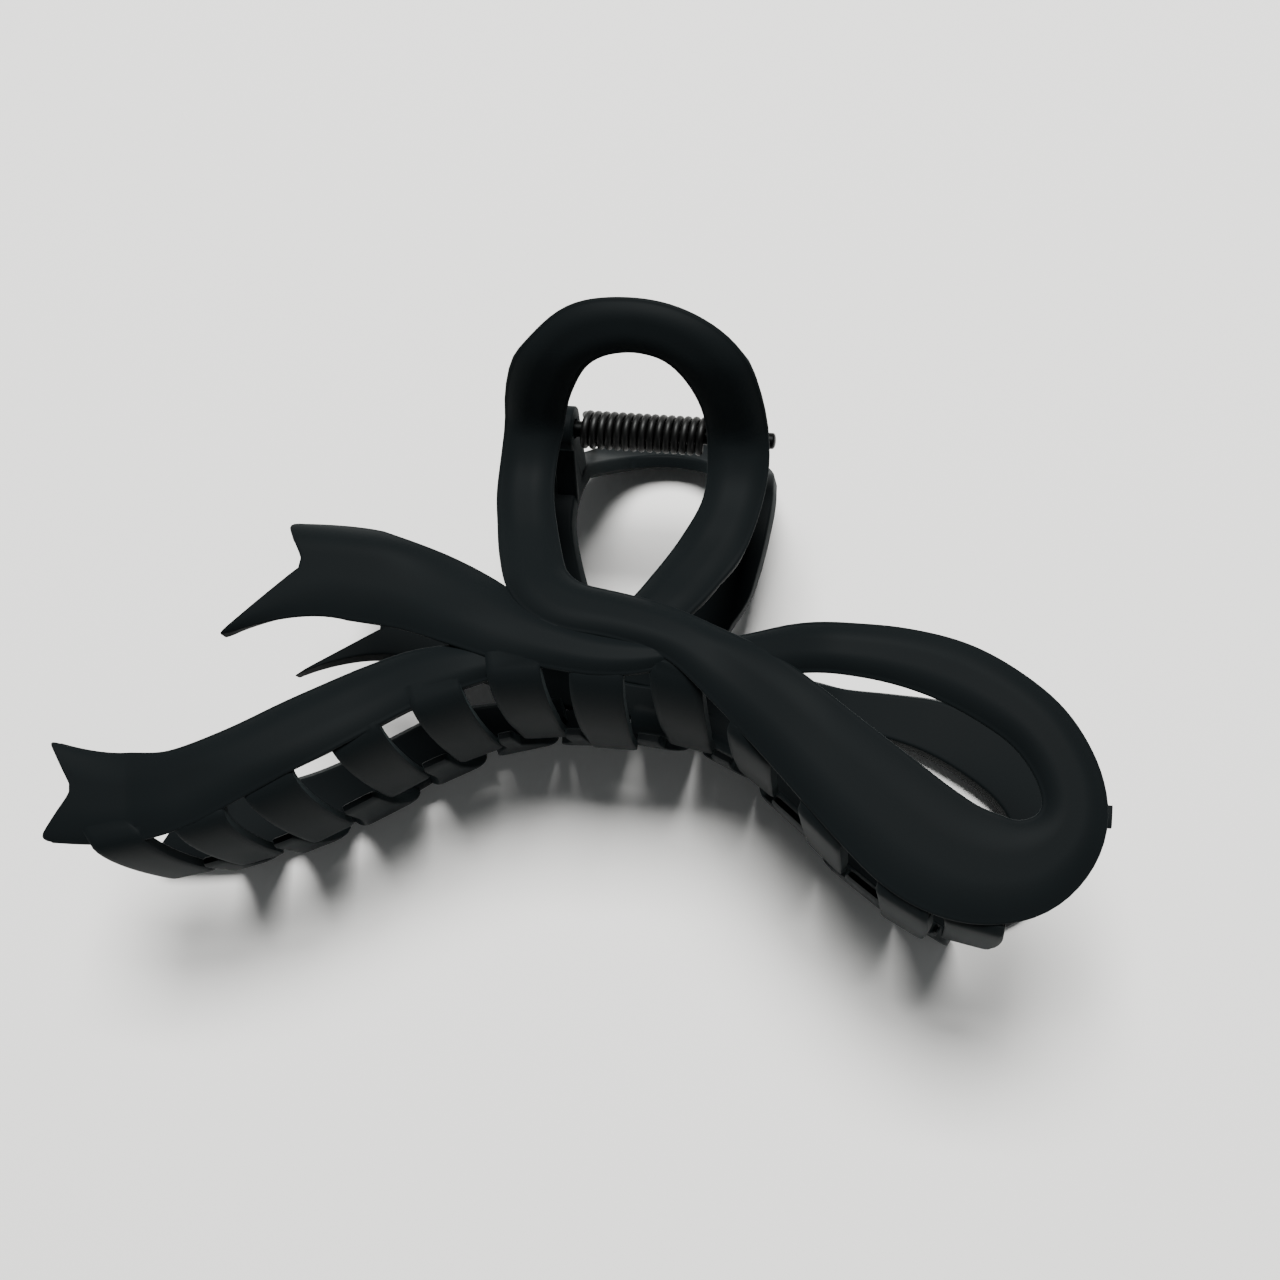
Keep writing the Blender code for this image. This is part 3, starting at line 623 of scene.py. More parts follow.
def comb_tree():
    """Stands one curled tooth on each point, shaped by what the point holds about its root and tip."""
    tree = new_tree(
        "Comb Teeth",
        (
            ("Root Thickness", "NodeSocketFloat"),
            ("Tip Thickness", "NodeSocketFloat"),
            ("Corner", "NodeSocketFloat"),
            ("Sections", "NodeSocketInt"),
            ("Plastic", "NodeSocketMaterial"),
        ),
    )
    make = TreeMaker(tree)
    given = make.node("NodeGroupInput").outputs
    square = make.node("GeometryNodeCurvePrimitiveQuadrilateral", {"Width": 2.0, "Height": 2.0})
    profile = make.node(
        "GeometryNodeFilletCurve",
        {"Curve": square.outputs[0], "Count": 3, "Radius": given["Corner"]},
        mode="POLY",
    )
    line = make.node("GeometryNodeCurvePrimitiveLine", {"End": (0.0, 0.0, 1.0)})
    rail = make.node(
        "GeometryNodeResampleCurve", {"Curve": line.outputs[0], "Count": given["Sections"]}
    )
    bar = make.node(
        "GeometryNodeCurveToMesh",
        {"Curve": rail.outputs[0], "Profile Curve": profile.outputs[0], "Fill Caps": True},
    )
    teeth = make.node(
        "GeometryNodeInstanceOnPoints",
        {"Points": given["Geometry"], "Instance": bar.outputs[0]},
    )
    solid = make.node("GeometryNodeRealizeInstances", {"Geometry": teeth.outputs[0]})
    place = make.node("GeometryNodeInputPosition").outputs[0]
    split = make.node("ShaderNodeSeparateXYZ", {0: place}).outputs
    crowd = make.math("SINE", make.math("MULTIPLY", split[2], math.pi / 2))
    turn = make.math("ADD", make.math("MULTIPLY", crowd, 1.0 + ROOT_TURN), -ROOT_TURN)
    angle = make.math("MULTIPLY", turn, math.pi / 2)
    down = make.math("MAXIMUM", angle, 0.0)
    root = make.attribute("root", "FLOAT_VECTOR")
    tip = make.attribute("tip", "FLOAT_VECTOR")
    along = make.attribute("along", "FLOAT_VECTOR")
    root_width = make.attribute("root_width", "FLOAT")
    tip_width = make.attribute("tip_width", "FLOAT")
    drop = make.vector("SUBTRACT", tip, root)
    plan = make.vector("MULTIPLY", drop, (1.0, 1.0, 0.0))
    fall = make.vector("MULTIPLY", drop, (0.0, 0.0, 1.0))
    inside = make.math("MULTIPLY", make.math("MINIMUM", turn, 0.0), ROOT_INSIDE / ROOT_TURN)
    swing = make.vector(
        "ADD",
        make.scale(plan, make.math("SINE", down)),
        make.scale(make.vector("NORMALIZE", plan), inside),
    )
    sink = make.scale(fall, make.math("SUBTRACT", 1.0, make.math("COSINE", down)))
    centre = make.vector("ADD", root, make.vector("ADD", swing, sink))
    way = make.vector(
        "ADD",
        make.scale(plan, make.math("COSINE", down)),
        make.scale(fall, make.math("SINE", down)),
    )
    outward = make.vector("NORMALIZE", make.vector("CROSS_PRODUCT", along, way))
    spent = make.math("MINIMUM", make.math("DIVIDE", make.math("MAXIMUM", turn, 0.0), FLARE_END), 1.0)
    rest = make.math("POWER", make.math("SUBTRACT", 1.0, spent), make.attribute("flare_power", "FLOAT"))
    flare = make.math("MULTIPLY", make.math("SUBTRACT", root_width, tip_width), rest)
    near = make.node(
        "ShaderNodeMapRange",
        {"Value": turn, "From Min": TIP_START, "From Max": 1.0, "To Min": 0.0, "To Max": 1.0},
    ).outputs[0]
    rounding = make.math("MULTIPLY", make.math("MULTIPLY", near, near), TIP_LOSS)
    full = make.math("MULTIPLY", make.math("ADD", tip_width, flare), 0.5)
    half = make.math("SUBTRACT", full, rounding)
    loss = make.math("SUBTRACT", given["Tip Thickness"], given["Root Thickness"])
    slim = make.math("MULTIPLY", loss, turn)
    thick = make.math("MULTIPLY", make.math("ADD", given["Root Thickness"], slim), 0.5)
    thin = make.math("SUBTRACT", thick, rounding)
    shift = make.vector(
        "ADD",
        make.scale(along, make.math("MULTIPLY", split[0], half)),
        make.scale(outward, make.math("MULTIPLY", split[1], thin)),
    )
    shaped = make.node(
        "GeometryNodeSetPosition",
        {"Geometry": solid.outputs[0], "Position": make.vector("ADD", centre, shift)},
    )
    final = make.node("GeometryNodeRealizeInstances", {"Geometry": shaped.outputs[0]})
    coated = make.node(
        "GeometryNodeSetMaterial", {"Geometry": final.outputs[0], "Material": given["Plastic"]}
    )
    make.node("NodeGroupOutput", {"Geometry": coated.outputs[0]})
    return tree


def comb_points(front, settings):
    """A mesh of loose points at the origin, one for each tooth, holding the tooth's own sizes."""
    crossing = settings.tooth_crossing / MILLIMETRE
    front_width = settings.tooth_width / MILLIMETRE
    gap = settings.tooth_gap / MILLIMETRE
    roots = np.array([root for root, tip in FRONT_TEETH])
    tips = np.array([tip for root, tip in FRONT_TEETH])
    tip_widths = np.full(len(tips), front_width)
    root_widths = tip_widths + FRONT_ROOT_FLARE
    if not front:
        pitch = np.linalg.norm(np.diff(tips, axis=0), axis=1)
        tip_widths = pitch - front_width - 2 * gap
        bow = tips[1:, 0] + tips[:-1, 0] > 2 * FLARE_SPLIT
        root_widths = np.where(bow, pitch + BOW_ROOT_OVERLAP, pitch - REAR_ROOT_GAP)
        roots = (roots[1:] + roots[:-1]) / 2
        roots[:, 1] -= rear_drop(roots[:, 0])
        tips = (tips[1:] + tips[:-1]) / 2
    chords = np.gradient(tips, axis=0)
    chords /= np.linalg.norm(chords, axis=1)[:, None]
    high = outer_height(roots[:, 0], roots[:, 1]) - TOOTH_DEPTH
    mesh = bpy.data.meshes.new("comb_points")
    mesh.from_pydata([(0.0, 0.0, 0.0)] * len(roots), [], [])
    fields = {
        "root": np.column_stack([roots, high]) * MILLIMETRE,
        "tip": np.column_stack([tips, np.full(len(tips), -crossing)]) * MILLIMETRE,
        "along": np.column_stack([chords, np.zeros(len(tips))]),
    }
    for name, values in fields.items():
        mesh.attributes.new(name, "FLOAT_VECTOR", "POINT").data.foreach_set("vector", values.ravel())
    numbers = {
        "root_width": root_widths * MILLIMETRE,
        "tip_width": tip_widths * MILLIMETRE,
        "flare_power": np.where(tips[:, 0] < FLARE_SPLIT, TAIL_FLARE, BOW_FLARE),
    }
    for name, values in numbers.items():
        mesh.attributes.new(name, "FLOAT", "POINT").data.foreach_set("value", values)
    return mesh


def build_comb(front, settings, material):
    """One jaw's teeth as mesh data in millimetres, in the clip's own frame."""
    name = "front_comb" if front else "rear_comb"
    holder = bpy.data.objects.new(name, comb_points(front, settings))
    bpy.context.scene.collection.objects.link(holder)
    values = {
        "Root Thickness": settings.tooth_thickness,
        "Tip Thickness": settings.tip_thickness,
        "Corner": TOOTH_CORNER,
        "Sections": settings.tooth_sections,
        "Plastic": material,
    }
    baked = run_tree(holder, comb_tree(), values)
    points = np.empty(len(baked.data.vertices) * 3, np.float32)
    baked.data.vertices.foreach_get("co", points)
    faces = [tuple(polygon.vertices) for polygon in baked.data.polygons]
    bpy.data.objects.remove(baked)
    return points.reshape(-1, 3).astype(float) / MILLIMETRE, faces


# ---------------------------------------------------------------- finishes


FLOW_SHADE = 0.88  # the darker share of the plastic's colour
PATCH_SHADE = 0.6  # and of the steel's


def new_finish(name):
    """A node material: itself, its tree's maker, its shader and the place on the object."""
    material = bpy.data.materials.new(name)
    material.use_nodes = True
    make = TreeMaker(material.node_tree)
    shader = material.node_tree.nodes["Principled BSDF"]
    return material, make, shader, make.node("ShaderNodeTexCoord").outputs["Object"]


def two_tone(make, factor, start, end, dimming, colour):
    """The colour, dimmed where the factor is low."""
    tint = make.node("ShaderNodeValToRGB", {"Fac": factor})
    low, high = tint.color_ramp.elements
    low.position = start
    low.color = (*[channel * dimming for channel in colour], 1.0)
    high.position = end
    high.color = (*colour, 1.0)
    return tint.outputs["Color"]


def plastic_material(name, settings):
    """Near-black soft-touch plastic: a satin skin with faint flow marks and a very fine mould grain."""
    material, make, shader, where = new_finish(name)
    flow = make.node("ShaderNodeTexNoise", {"Vector": where, "Scale": 55.0, "Detail": 3.0})
    grain = make.node("ShaderNodeTexNoise", {"Vector": where, "Scale": 2600.0, "Detail": 2.0})
    tint = two_tone(make, flow.outputs["Fac"], 0.35, 0.7, FLOW_SHADE, settings.plastic_colour)
    make.feed(shader.inputs["Base Color"], tint)
    rough = make.node(
        "ShaderNodeMapRange",
        {
            "Value": flow.outputs["Fac"],
            "From Min": 0.3,
            "From Max": 0.7,
            "To Min": settings.plastic_roughness - 0.04,
            "To Max": settings.plastic_roughness + 0.05,
        },
    )
    make.feed(shader.inputs["Roughness"], rough.outputs[0])
    bump = make.node(
        "ShaderNodeBump",
        {"Height": grain.outputs["Fac"], "Strength": 0.12, "Distance": 0.00004},
    )
    make.feed(shader.inputs["Normal"], bump.outputs["Normal"])
    shader.inputs["IOR"].default_value = 1.5
    shader.inputs["Specular IOR Level"].default_value = settings.plastic_gloss
    shader.inputs["Sheen Weight"].default_value = settings.plastic_sheen
    shader.inputs["Sheen Roughness"].default_value = 0.5
    shader.inputs["Sheen Tint"].default_value = (0.72, 0.95, 1.0, 1.0)
    return material


def steel_material(name, colour, roughness, grain_scale):
    """Dark steel with fine drawing lines and a little uneven darkening."""
    material, make, shader, where = new_finish(name)
    stretched = make.node("ShaderNodeMapping", {"Vector": where, "Scale": (8.0, 1.0, 1.0)}).outputs[0]
    lines = make.node("ShaderNodeTexNoise", {"Vector": stretched, "Scale": grain_scale, "Detail": 3.0})
    cloud = make.node("ShaderNodeTexNoise", {"Vector": where, "Scale": 420.0, "Detail": 2.0})
    tint = two_tone(make, cloud.outputs["Fac"], 0.3, 0.7, PATCH_SHADE, colour)
    make.feed(shader.inputs["Base Color"], tint)
    rough = make.node(
        "ShaderNodeMapRange",
        {"Value": lines.outputs["Fac"], "To Min": roughness - 0.08, "To Max": roughness + 0.1},
    )
    make.feed(shader.inputs["Roughness"], rough.outputs[0])
    bump = make.node(
        "ShaderNodeBump", {"Height": lines.outputs["Fac"], "Strength": 0.15, "Distance": 0.00003}
    )
    make.feed(shader.inputs["Normal"], bump.outputs["Normal"])
    shader.inputs["Metallic"].default_value = 1.0
    return material


# ---------------------------------------------------------------- jaws


def build_jaw(name, side, knuckle_start, body, settings):
    """One moulded jaw, joined from its ribbons, comb, knuckles and gate mark."""
    front = side > 0
    material = plastic_material(f"{body}_jaw_skin", settings)
    sizes = (settings.ribbon_thickness, settings.crown, settings.rim)
    millimetres = [size / MILLIMETRE for size in sizes]
    thickness = millimetres[0]
    joined = bpy.data.collections.new(name + "_pieces")
    bpy.context.scene.collection.children.link(joined)
    pieces = [
        ribbon(UPPER_TAIL_RIBBON, millimetres, UPPER_TAIL if front else REAR_UPPER_TAIL),
        ribbon(lower_tail(front), millimetres, LOWER_TAIL),
        build_comb(front, settings, material),
        gate_mark(millimetres),
    ]
    jaw = new_object(name + "_blank", ribbon(handle_and_loop(front), millimetres), side)
    for number, piece in enumerate(pieces):
        helper = new_object(f"{name}_piece_{number}", piece, side)
        bpy.context.scene.collection.objects.unlink(helper)
        joined.objects.link(helper)
    for hand in (-1, 1):
        reach = (hand * knuckle_start, hand * (knuckle_start + KNUCKLE_WIDTH))
        piece = new_object(f"{name}_knuckle_{hand}", prism(knuckle_outline(thickness), *reach), side)
        bevel = piece.modifiers.new("edges", "BEVEL")
        bevel.width = KNUCKLE_BEVEL * MILLIMETRE
        bevel.segments = KNUCKLE_BEVEL_STEPS
        bevel.limit_method = "ANGLE"
        bevel.angle_limit = math.radians(KNUCKLE_EDGE_ANGLE)
        bpy.context.scene.collection.objects.unlink(piece)
        joined.objects.link(piece)
    union = jaw.modifiers.new("union", "BOOLEAN")
    union.operation = "UNION"
    union.operand_type = "COLLECTION"
    union.collection = joined
    union.solver = "MANIFOLD"
    profile = [(-PIN_RIGHT, BORE_RADIUS), (PIN_RIGHT, BORE_RADIUS)]
    bore = new_object(name + "_bore", round_bar(profile, BORE_SIDES), side)
    drill = jaw.modifiers.new("bore", "BOOLEAN")
    drill.operation = "DIFFERENCE"
    drill.object = bore
    drill.solver = "MANIFOLD"
    done = bake(jaw, name)
    bpy.data.objects.remove(bore)
    for helper in list(joined.objects):
        bpy.data.objects.remove(helper)
    bpy.data.collections.remove(joined)
    shade(done, material)
    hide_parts(f"{body}_jaw")
    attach(done, body)


GATE_SINK = 0.25  # from the rim's foot down to the mark
GATE_FOOT = 1.1  # half widths at its foot and top
GATE_TOP = 0.9
GATE_CHAMFER = 0.1
GATE_HEIGHT = 0.8
GATE_START = 0.8  # share of the ribbon's half width
GATE_REACH = 0.4  # how far it stands out


def gate_mark(sizes):
    """Mesh of the small moulding mark on the loop's end."""
    stations = ribbon_stations(HANDLE_AND_LOOP)
    index = int(np.argmax(stations[:, 0] + stations[:, 2]))
    x, y, half = stations[index, :3]
    top = float(outer_height(x, y)) - sizes[1] - sizes[2] - GATE_SINK
    low = top - GATE_CHAMFER
    outline = [(y + GATE_FOOT, low), (y + GATE_TOP, top), (y - GATE_TOP, top), (y - GATE_FOOT, low)]
    outline += [(y - GATE_FOOT, top - GATE_HEIGHT), (y + GATE_FOOT, top - GATE_HEIGHT)]
    return prism(outline, x + half * GATE_START, x + half + GATE_REACH)


# ---------------------------------------------------------------- pin and spring


def build_pin(settings):
    """The hinge pin: a drawn rod with slightly domed, chamfered ends."""
    material = steel_material("pin_finish", settings.steel_colour, settings.steel_roughness, 900.0)
    profile = [(-PIN_LEFT + inset, radius) for inset, radius in PIN_DOME]
    profile += [(PIN_RIGHT - inset, radius) for inset, radius in PIN_DOME[::-1]]
    pin = new_object("hinge_pin_rod", round_bar(profile, PIN_SIDES))
    shade(pin, material, 50.0)
    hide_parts("hinge_pin")
    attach(pin, "rear")


def spring_tree():
    """Winds the coil, joins the two legs to it and draws the wire along all of it."""
    tree = new_tree(
        "Torsion Spring",
        (
            ("Wire Radius", "NodeSocketFloat"),
            ("Coil Radius", "NodeSocketFloat"),
            ("Coil Length", "NodeSocketFloat"),
            ("Turns", "NodeSocketFloat"),
            ("Wire Sides", "NodeSocketInt"),
            ("Steel", "NodeSocketMaterial"),
        ),
    )
    make = TreeMaker(tree)
    given = make.node("NodeGroupInput").outputs
    coil = make.node(
        "GeometryNodeCurveSpiral",
        {
            "Resolution": 32,
            "Rotations": given["Turns"],
            "Start Radius": given["Coil Radius"],
            "End Radius": given["Coil Radius"],
            "Height": given["Coil Length"],
        },
    )
    lift = make.node("ShaderNodeCombineXYZ", {"Z": make.math("MULTIPLY", given["Coil Length"], -0.5)})
    centred = make.node(
        "GeometryNodeTransform", {"Geometry": coil.outputs[0], "Translation": lift.outputs[0]}
    )
    laid = make.node(
        "GeometryNodeTransform",
        {"Geometry": centred.outputs[0], "Rotation": (0.0, math.pi / 2, 0.0)},
    )
    legs = make.node("GeometryNodeMeshToCurve", {"Mesh": given["Geometry"]})
    both = make.node("GeometryNodeJoinGeometry")
    make.feed(both.inputs[0], laid.outputs[0])
    make.feed(both.inputs[0], legs.outputs[0])
    ring = make.node(
        "GeometryNodeCurvePrimitiveCircle",
        {"Resolution": given["Wire Sides"], "Radius": given["Wire Radius"]},
    )
    wire = make.node(
        "GeometryNodeCurveToMesh",
        {"Curve": both.outputs[0], "Profile Curve": ring.outputs[0], "Fill Caps": True},
    )
    final = make.node("GeometryNodeRealizeInstances", {"Geometry": wire.outputs[0]})
    coated = make.node(
        "GeometryNodeSetMaterial", {"Geometry": final.outputs[0], "Material": given["Steel"]}
    )
    make.node("NodeGroupOutput", {"Geometry": coated.outputs[0]})
    return tree


LEG_RISE = (0.1, 0.15, 1.4)  # from the coil's end to the leg's first bend
LEG_KNEE = (0.4, 0.8)  # how far its knee clears the coil and the knuckle
LEG_SEAT_Y = 1.6
LEG_SEAT_GAP = 0.35
LEG_STEPS = 8


def spring_legs(settings):
    """Loose edges along the spring's two legs, in metres in the clip's own frame."""
    wire = settings.wire_radius / MILLIMETRE
    mean = settings.coil_radius / MILLIMETRE - wire
    half = INNER_KNUCKLE - settings.coil_gap / MILLIMETRE - wire
    seat_x = INNER_KNUCKLE + KNUCKLE_WIDTH / 2
    seat = on_face(seat_x, LEG_SEAT_Y, RIBBON_THICKNESS + wire + LEG_SEAT_GAP)
    knee = (half + wire / 2, mean + LEG_KNEE[0], KNUCKLE_RADIUS + LEG_KNEE[1])
    rise_x, rise_y, rise_z = LEG_RISE
    knots = [(half, mean, 0.0), (half + rise_x, mean + rise_y, rise_z), knee]
    knots += [((knee[0] + 2 * seat[0]) / 3, (knee[1] + seat[1]) / 2, (knee[2] + seat[2]) / 2), seat]
    leg = smooth_line(knots, LEG_STEPS)
    vertices = np.vstack([leg * (-1, 1, -1), leg]) * MILLIMETRE
    count = len(leg)
    edges = [(first + i, first + i + 1) for first in (0, count) for i in range(count - 1)]
    mesh = bpy.data.meshes.new("spring_legs")
    mesh.from_pydata(vertices.tolist(), edges, [])
    return mesh, half


def build_spring(settings):
    """The close-wound spring about the pin, built in its rest shape and left fixed in place."""
    colour, roughness = settings.spring_colour, settings.spring_roughness
    material = steel_material("spring_finish", colour, roughness, 1400.0)
    mesh, half = spring_legs(settings)
    holder = bpy.data.objects.new("spring_wire", mesh)
    bpy.context.scene.collection.objects.link(holder)
    values = {
        "Wire Radius": settings.wire_radius,
        "Coil Radius": settings.coil_radius - settings.wire_radius,
        "Coil Length": 2 * half * MILLIMETRE,
        "Turns": float(settings.coil_turns),
        "Wire Sides": 12,
        "Steel": material,
    }
    spring = run_tree(holder, spring_tree(), values)
    spring.data.transform(clip_matrix())
    shade(spring, material, 60.0)
    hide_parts("torsion_spring")
    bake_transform(spring)


# ---------------------------------------------------------------- stage

CAMERA_PLACE = (29.24, -60.05, 166.0)  # in the clip's own frame, in millimetres
CAMERA_TARGET = (2.32, -24.96, 0.0)
CAMERA_ROLL = math.radians(4.91)
TABLE_SIZE = 6.0
LIGHT_TARGET = (0.0, 0.0, 0.02)
KEY_PLACE = (0.0, 0.27, 0.8)
KEY_SIZE = 0.36
KEY_COLOUR = (1.0, 0.99, 0.97)
FILL_PLACE = (0.5, -0.35, 0.5)
FILL_SIZE = 0.5
FILL_COLOUR = (0.95, 1.0, 1.0)


def add_light(name, place, size, power, colour):
    """A square area light that shines on the clip."""
    data = bpy.data.lights.new(name, "AREA")
    data.shape = "RECTANGLE"
    data.size = size
    data.size_y = size
    data.energy = power
    data.color = colour
    light = bpy.data.objects.new(name, data)
    bpy.context.scene.collection.objects.link(light)
    way = Matrix.Translation(LIGHT_TARGET).translation - Matrix.Translation(place).translation
    light.matrix_world = Matrix.Translation(place) @ way.to_track_quat("-Z", "Y").to_matrix().to_4x4()


# ---------------------------------------------------------------- settings


class ClawClipJawSettings(bpy.types.PropertyGroup):
    """Sizes and finish of the moulded jaws."""

    ribbon_thickness: FloatProperty(
        name="Ribbon Thickness", description="Thickness of every ribbon",
        default=RIBBON_THICKNESS * MILLIMETRE, unit="LENGTH"
    )
    crown: FloatProperty(
        name="Crown", description="How far a ribbon's edge falls below its middle",
        default=0.00075, unit="LENGTH"
    )
    rim: FloatProperty(
        name="Rim", description="Radius of a ribbon's rim",
        default=0.0003, unit="LENGTH",
    )
    tooth_width: FloatProperty(
        name="Tooth Width", description="Width of a front tooth at its tip",
        default=0.0052, unit="LENGTH"
    )
    tooth_gap: FloatProperty(
        name="Tooth Gap", description="Free space beside a tooth's tip", default=0.00045, unit="LENGTH"
    )
    tooth_thickness: FloatProperty(
        name="Tooth Thickness", description="Thickness of a tooth at its root",
        default=0.0017, unit="LENGTH"
    )
    tip_thickness: FloatProperty(
        name="Tip Thickness", description="Thickness of a tooth at its tip",
        default=0.0012, unit="LENGTH"
    )
    tooth_crossing: FloatProperty(
        name="Tooth Crossing", description="How far a tip passes the mid-plane",
        default=0.0028, unit="LENGTH"
    )
    tooth_sections: IntProperty(name="Tooth Sections", description="Sections along a tooth", default=24)
    plastic_colour: FloatVectorProperty(
        name="Plastic Colour",
        description="Colour of the moulded plastic",
        default=(0.0050, 0.0066, 0.0073),
        subtype="COLOR",
    )
    plastic_roughness: FloatProperty(
        name="Plastic Roughness", description="Roughness of the plastic", default=0.55, subtype="FACTOR"
    )
    plastic_gloss: FloatProperty(
        name="Plastic Gloss", description="Strength of the plastic's reflections",
        default=0.028, subtype="FACTOR"
    )
    plastic_sheen: FloatProperty(
        name="Plastic Sheen", description="Soft-touch sheen of the plastic",
        default=0.02, subtype="FACTOR"
    )


class ClawClipHingeSettings(bpy.types.PropertyGroup):
    """Sizes and finish of the pin and the spring."""

    wire_radius: FloatProperty(
        name="Wire Radius", description="Radius of the spring's wire", default=0.00046, unit="LENGTH"
    )
    coil_radius: FloatProperty(
        name="Coil Radius", description="Outer radius of the coil", default=0.0023, unit="LENGTH"
    )
    coil_gap: FloatProperty(
        name="Coil Gap", description="From the coil's end to the knuckle", default=0.0006, unit="LENGTH"
    )
    coil_turns: IntProperty(name="Coil Turns", description="Turns of the coil", default=15)
    steel_colour: FloatVectorProperty(
        name="Pin Colour", description="Colour of the pin's steel",
        default=(0.014, 0.015, 0.015), subtype="COLOR"
    )
    steel_roughness: FloatProperty(
        name="Pin Roughness", description="Roughness of the pin", default=0.38, subtype="FACTOR"
    )
    spring_colour: FloatVectorProperty(
        name="Spring Colour", description="Colour of the wire",
        default=(0.045, 0.046, 0.046), subtype="COLOR"
    )
    spring_roughness: FloatProperty(
        name="Spring Roughness", description="Roughness of the wire", default=0.5, subtype="FACTOR"
    )


class ClawClipStageSettings(bpy.types.PropertyGroup):
    """Table, light and camera."""

    table_colour: FloatVectorProperty(
        name="Table Colour", description="Colour of the table",
        default=(0.9, 0.9, 0.89), subtype="COLOR"
    )
    key_power: FloatProperty(
        name="Key Light", description="Power of the key light in watts",
        default=17.0,
    )
    fill_power: FloatProperty(
        name="Fill Light", description="Power of the fill light in watts",
        default=0.2,
    )
    world_strength: FloatProperty(
        name="Room Light", description="Strength of the room's light",
        default=0.12,
    )
    lens: FloatProperty(
        name="Lens", description="Focal length",
        default=42.2, subtype="DISTANCE_CAMERA",
    )


# ---------------------------------------------------------------- operators


class ClawClipFrontJaw(bpy.types.Operator):
    """Mould the front jaw with its bow, comb and outer knuckles"""

    bl_idname = "claw_clip.front_jaw"
    bl_label = "Mould Front Jaw"

    def execute(self, context):
        build_jaw("front_jaw_moulding", 1, OUTER_KNUCKLE, "front", context.scene.claw_clip_jaws)
        return {"FINISHED"}


class ClawClipRearJaw(bpy.types.Operator):
    """Mould the rear jaw with its bow, comb and inner knuckles"""

    bl_idname = "claw_clip.rear_jaw"
    bl_label = "Mould Rear Jaw"

    def execute(self, context):
        build_jaw("rear_jaw_moulding", -1, INNER_KNUCKLE, "rear", context.scene.claw_clip_jaws)
        return {"FINISHED"}


class ClawClipPin(bpy.types.Operator):
    """Turn the hinge pin"""

    bl_idname = "claw_clip.pin"
    bl_label = "Turn Hinge Pin"

    def execute(self, context):
        build_pin(context.scene.claw_clip_hinge)
        return {"FINISHED"}


class ClawClipSpring(bpy.types.Operator):
    """Wind the torsion spring"""

    bl_idname = "claw_clip.spring"
    bl_label = "Wind Spring"

    def execute(self, context):
        build_spring(context.scene.claw_clip_hinge)
        return {"FINISHED"}


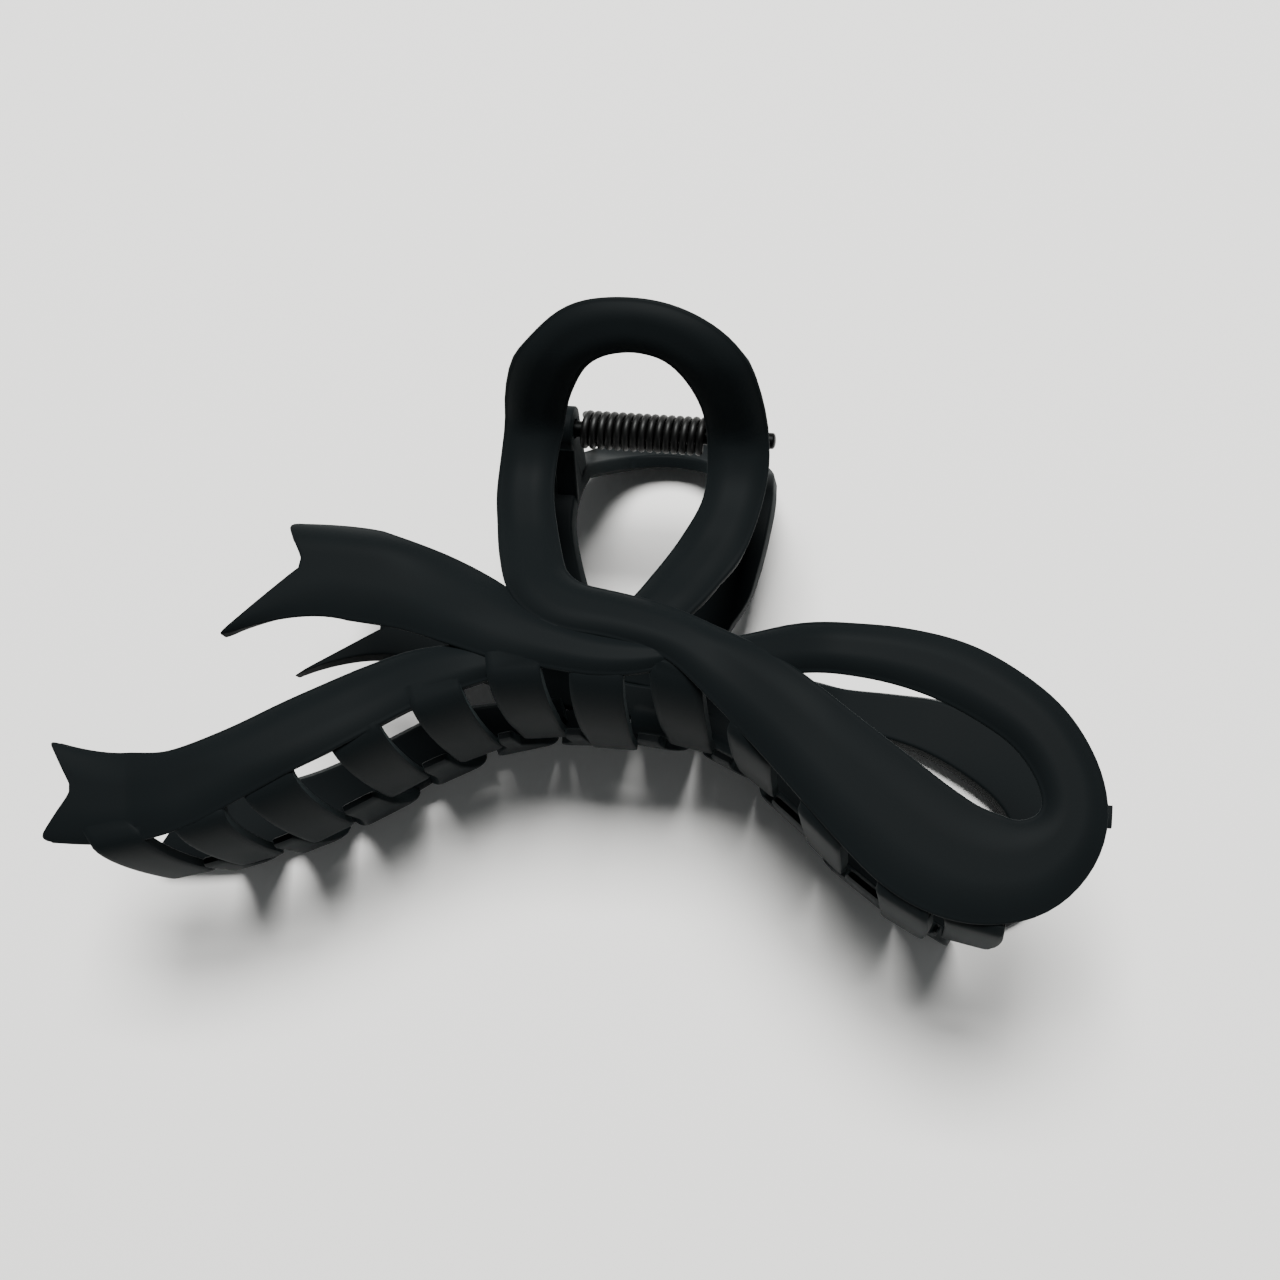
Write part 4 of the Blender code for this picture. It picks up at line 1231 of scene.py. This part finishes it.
class ClawClipStage(bpy.types.Operator):
    """Set the table, the lights and the camera"""

    bl_idname = "claw_clip.stage"
    bl_label = "Set Stage"

    def execute(self, context):
        settings = context.scene.claw_clip_stage
        bpy.ops.mesh.primitive_plane_add(size=TABLE_SIZE, location=(0.0, 0.0, 0.0))
        table = context.active_object
        table.name = "table"
        surface = bpy.data.materials.new("table_surface")
        surface.use_nodes = True
        shader = surface.node_tree.nodes["Principled BSDF"]
        shader.inputs["Base Color"].default_value = (*settings.table_colour, 1.0)
        shader.inputs["Roughness"].default_value = 0.9
        shader.inputs["Specular IOR Level"].default_value = 0.1
        table.data.materials.append(surface)
        world = bpy.data.worlds.new("studio")
        world.use_nodes = True
        background = world.node_tree.nodes["Background"]
        background.inputs["Color"].default_value = (0.97, 0.99, 1.0, 1.0)
        background.inputs["Strength"].default_value = settings.world_strength
        context.scene.world = world
        add_light("key", KEY_PLACE, KEY_SIZE, settings.key_power, KEY_COLOUR)
        add_light("fill", FILL_PLACE, FILL_SIZE, settings.fill_power, FILL_COLOUR)
        self.set_camera(context, settings)
        return {"FINISHED"}

    def set_camera(self, context, settings):
        """The camera looks down on the front jaw from the teeth's side."""
        data = bpy.data.cameras.new("camera")
        data.sensor_width = 36.0
        data.lens = settings.lens
        data.clip_start = 0.01
        camera = bpy.data.objects.new("camera", data)
        context.scene.collection.objects.link(camera)
        place = Matrix.Translation([v * MILLIMETRE for v in CAMERA_PLACE])
        camera.matrix_world = clip_matrix() @ place @ camera_turn()
        context.scene.camera = camera


def camera_turn():
    """The camera's turn in the clip's frame: it looks almost straight down and rolls a little."""
    aim = np.array(CAMERA_TARGET) - np.array(CAMERA_PLACE)
    back = -aim / np.linalg.norm(aim)
    right = np.array([math.cos(CAMERA_ROLL), math.sin(CAMERA_ROLL), 0.0])
    right -= back * (right @ back)
    right /= np.linalg.norm(right)
    up = np.cross(back, right)
    return Matrix([(*row, 0.0) for row in np.column_stack([right, up, back])] + [(0.0, 0.0, 0.0, 1.0)])


class ClawClipPanel(bpy.types.Panel):
    """Lists the clip's steps and settings"""

    bl_idname = "VIEW3D_PT_claw_clip"
    bl_label = "Claw Clip"
    bl_space_type = "VIEW_3D"
    bl_region_type = "UI"
    bl_category = "Claw Clip"

    def draw(self, context):
        layout = self.layout
        for operator in OPERATORS:
            layout.operator(operator.bl_idname)
        for name in SETTINGS:
            group = getattr(context.scene, name)
            box = layout.box()
            for key in group.__annotations__:
                box.prop(group, key)


SETTINGS = {
    "claw_clip_jaws": ClawClipJawSettings,
    "claw_clip_hinge": ClawClipHingeSettings,
    "claw_clip_stage": ClawClipStageSettings,
}
OPERATORS = (ClawClipStage, ClawClipFrontJaw, ClawClipRearJaw, ClawClipPin, ClawClipSpring)
CLASSES = (*SETTINGS.values(), *OPERATORS, ClawClipPanel)


def register():
    for cls in CLASSES:
        bpy.utils.register_class(cls)
    for name, cls in SETTINGS.items():
        setattr(bpy.types.Scene, name, PointerProperty(type=cls))


def unregister():
    for name in SETTINGS:
        delattr(bpy.types.Scene, name)
    for cls in reversed(CLASSES):
        bpy.utils.unregister_class(cls)


def main():
    register()
    bpy.ops.claw_clip.stage()
    bpy.ops.claw_clip.front_jaw()
    bpy.ops.claw_clip.rear_jaw()
    bpy.ops.claw_clip.pin()
    bpy.ops.claw_clip.spring()


if __name__ == "__main__":
    main()
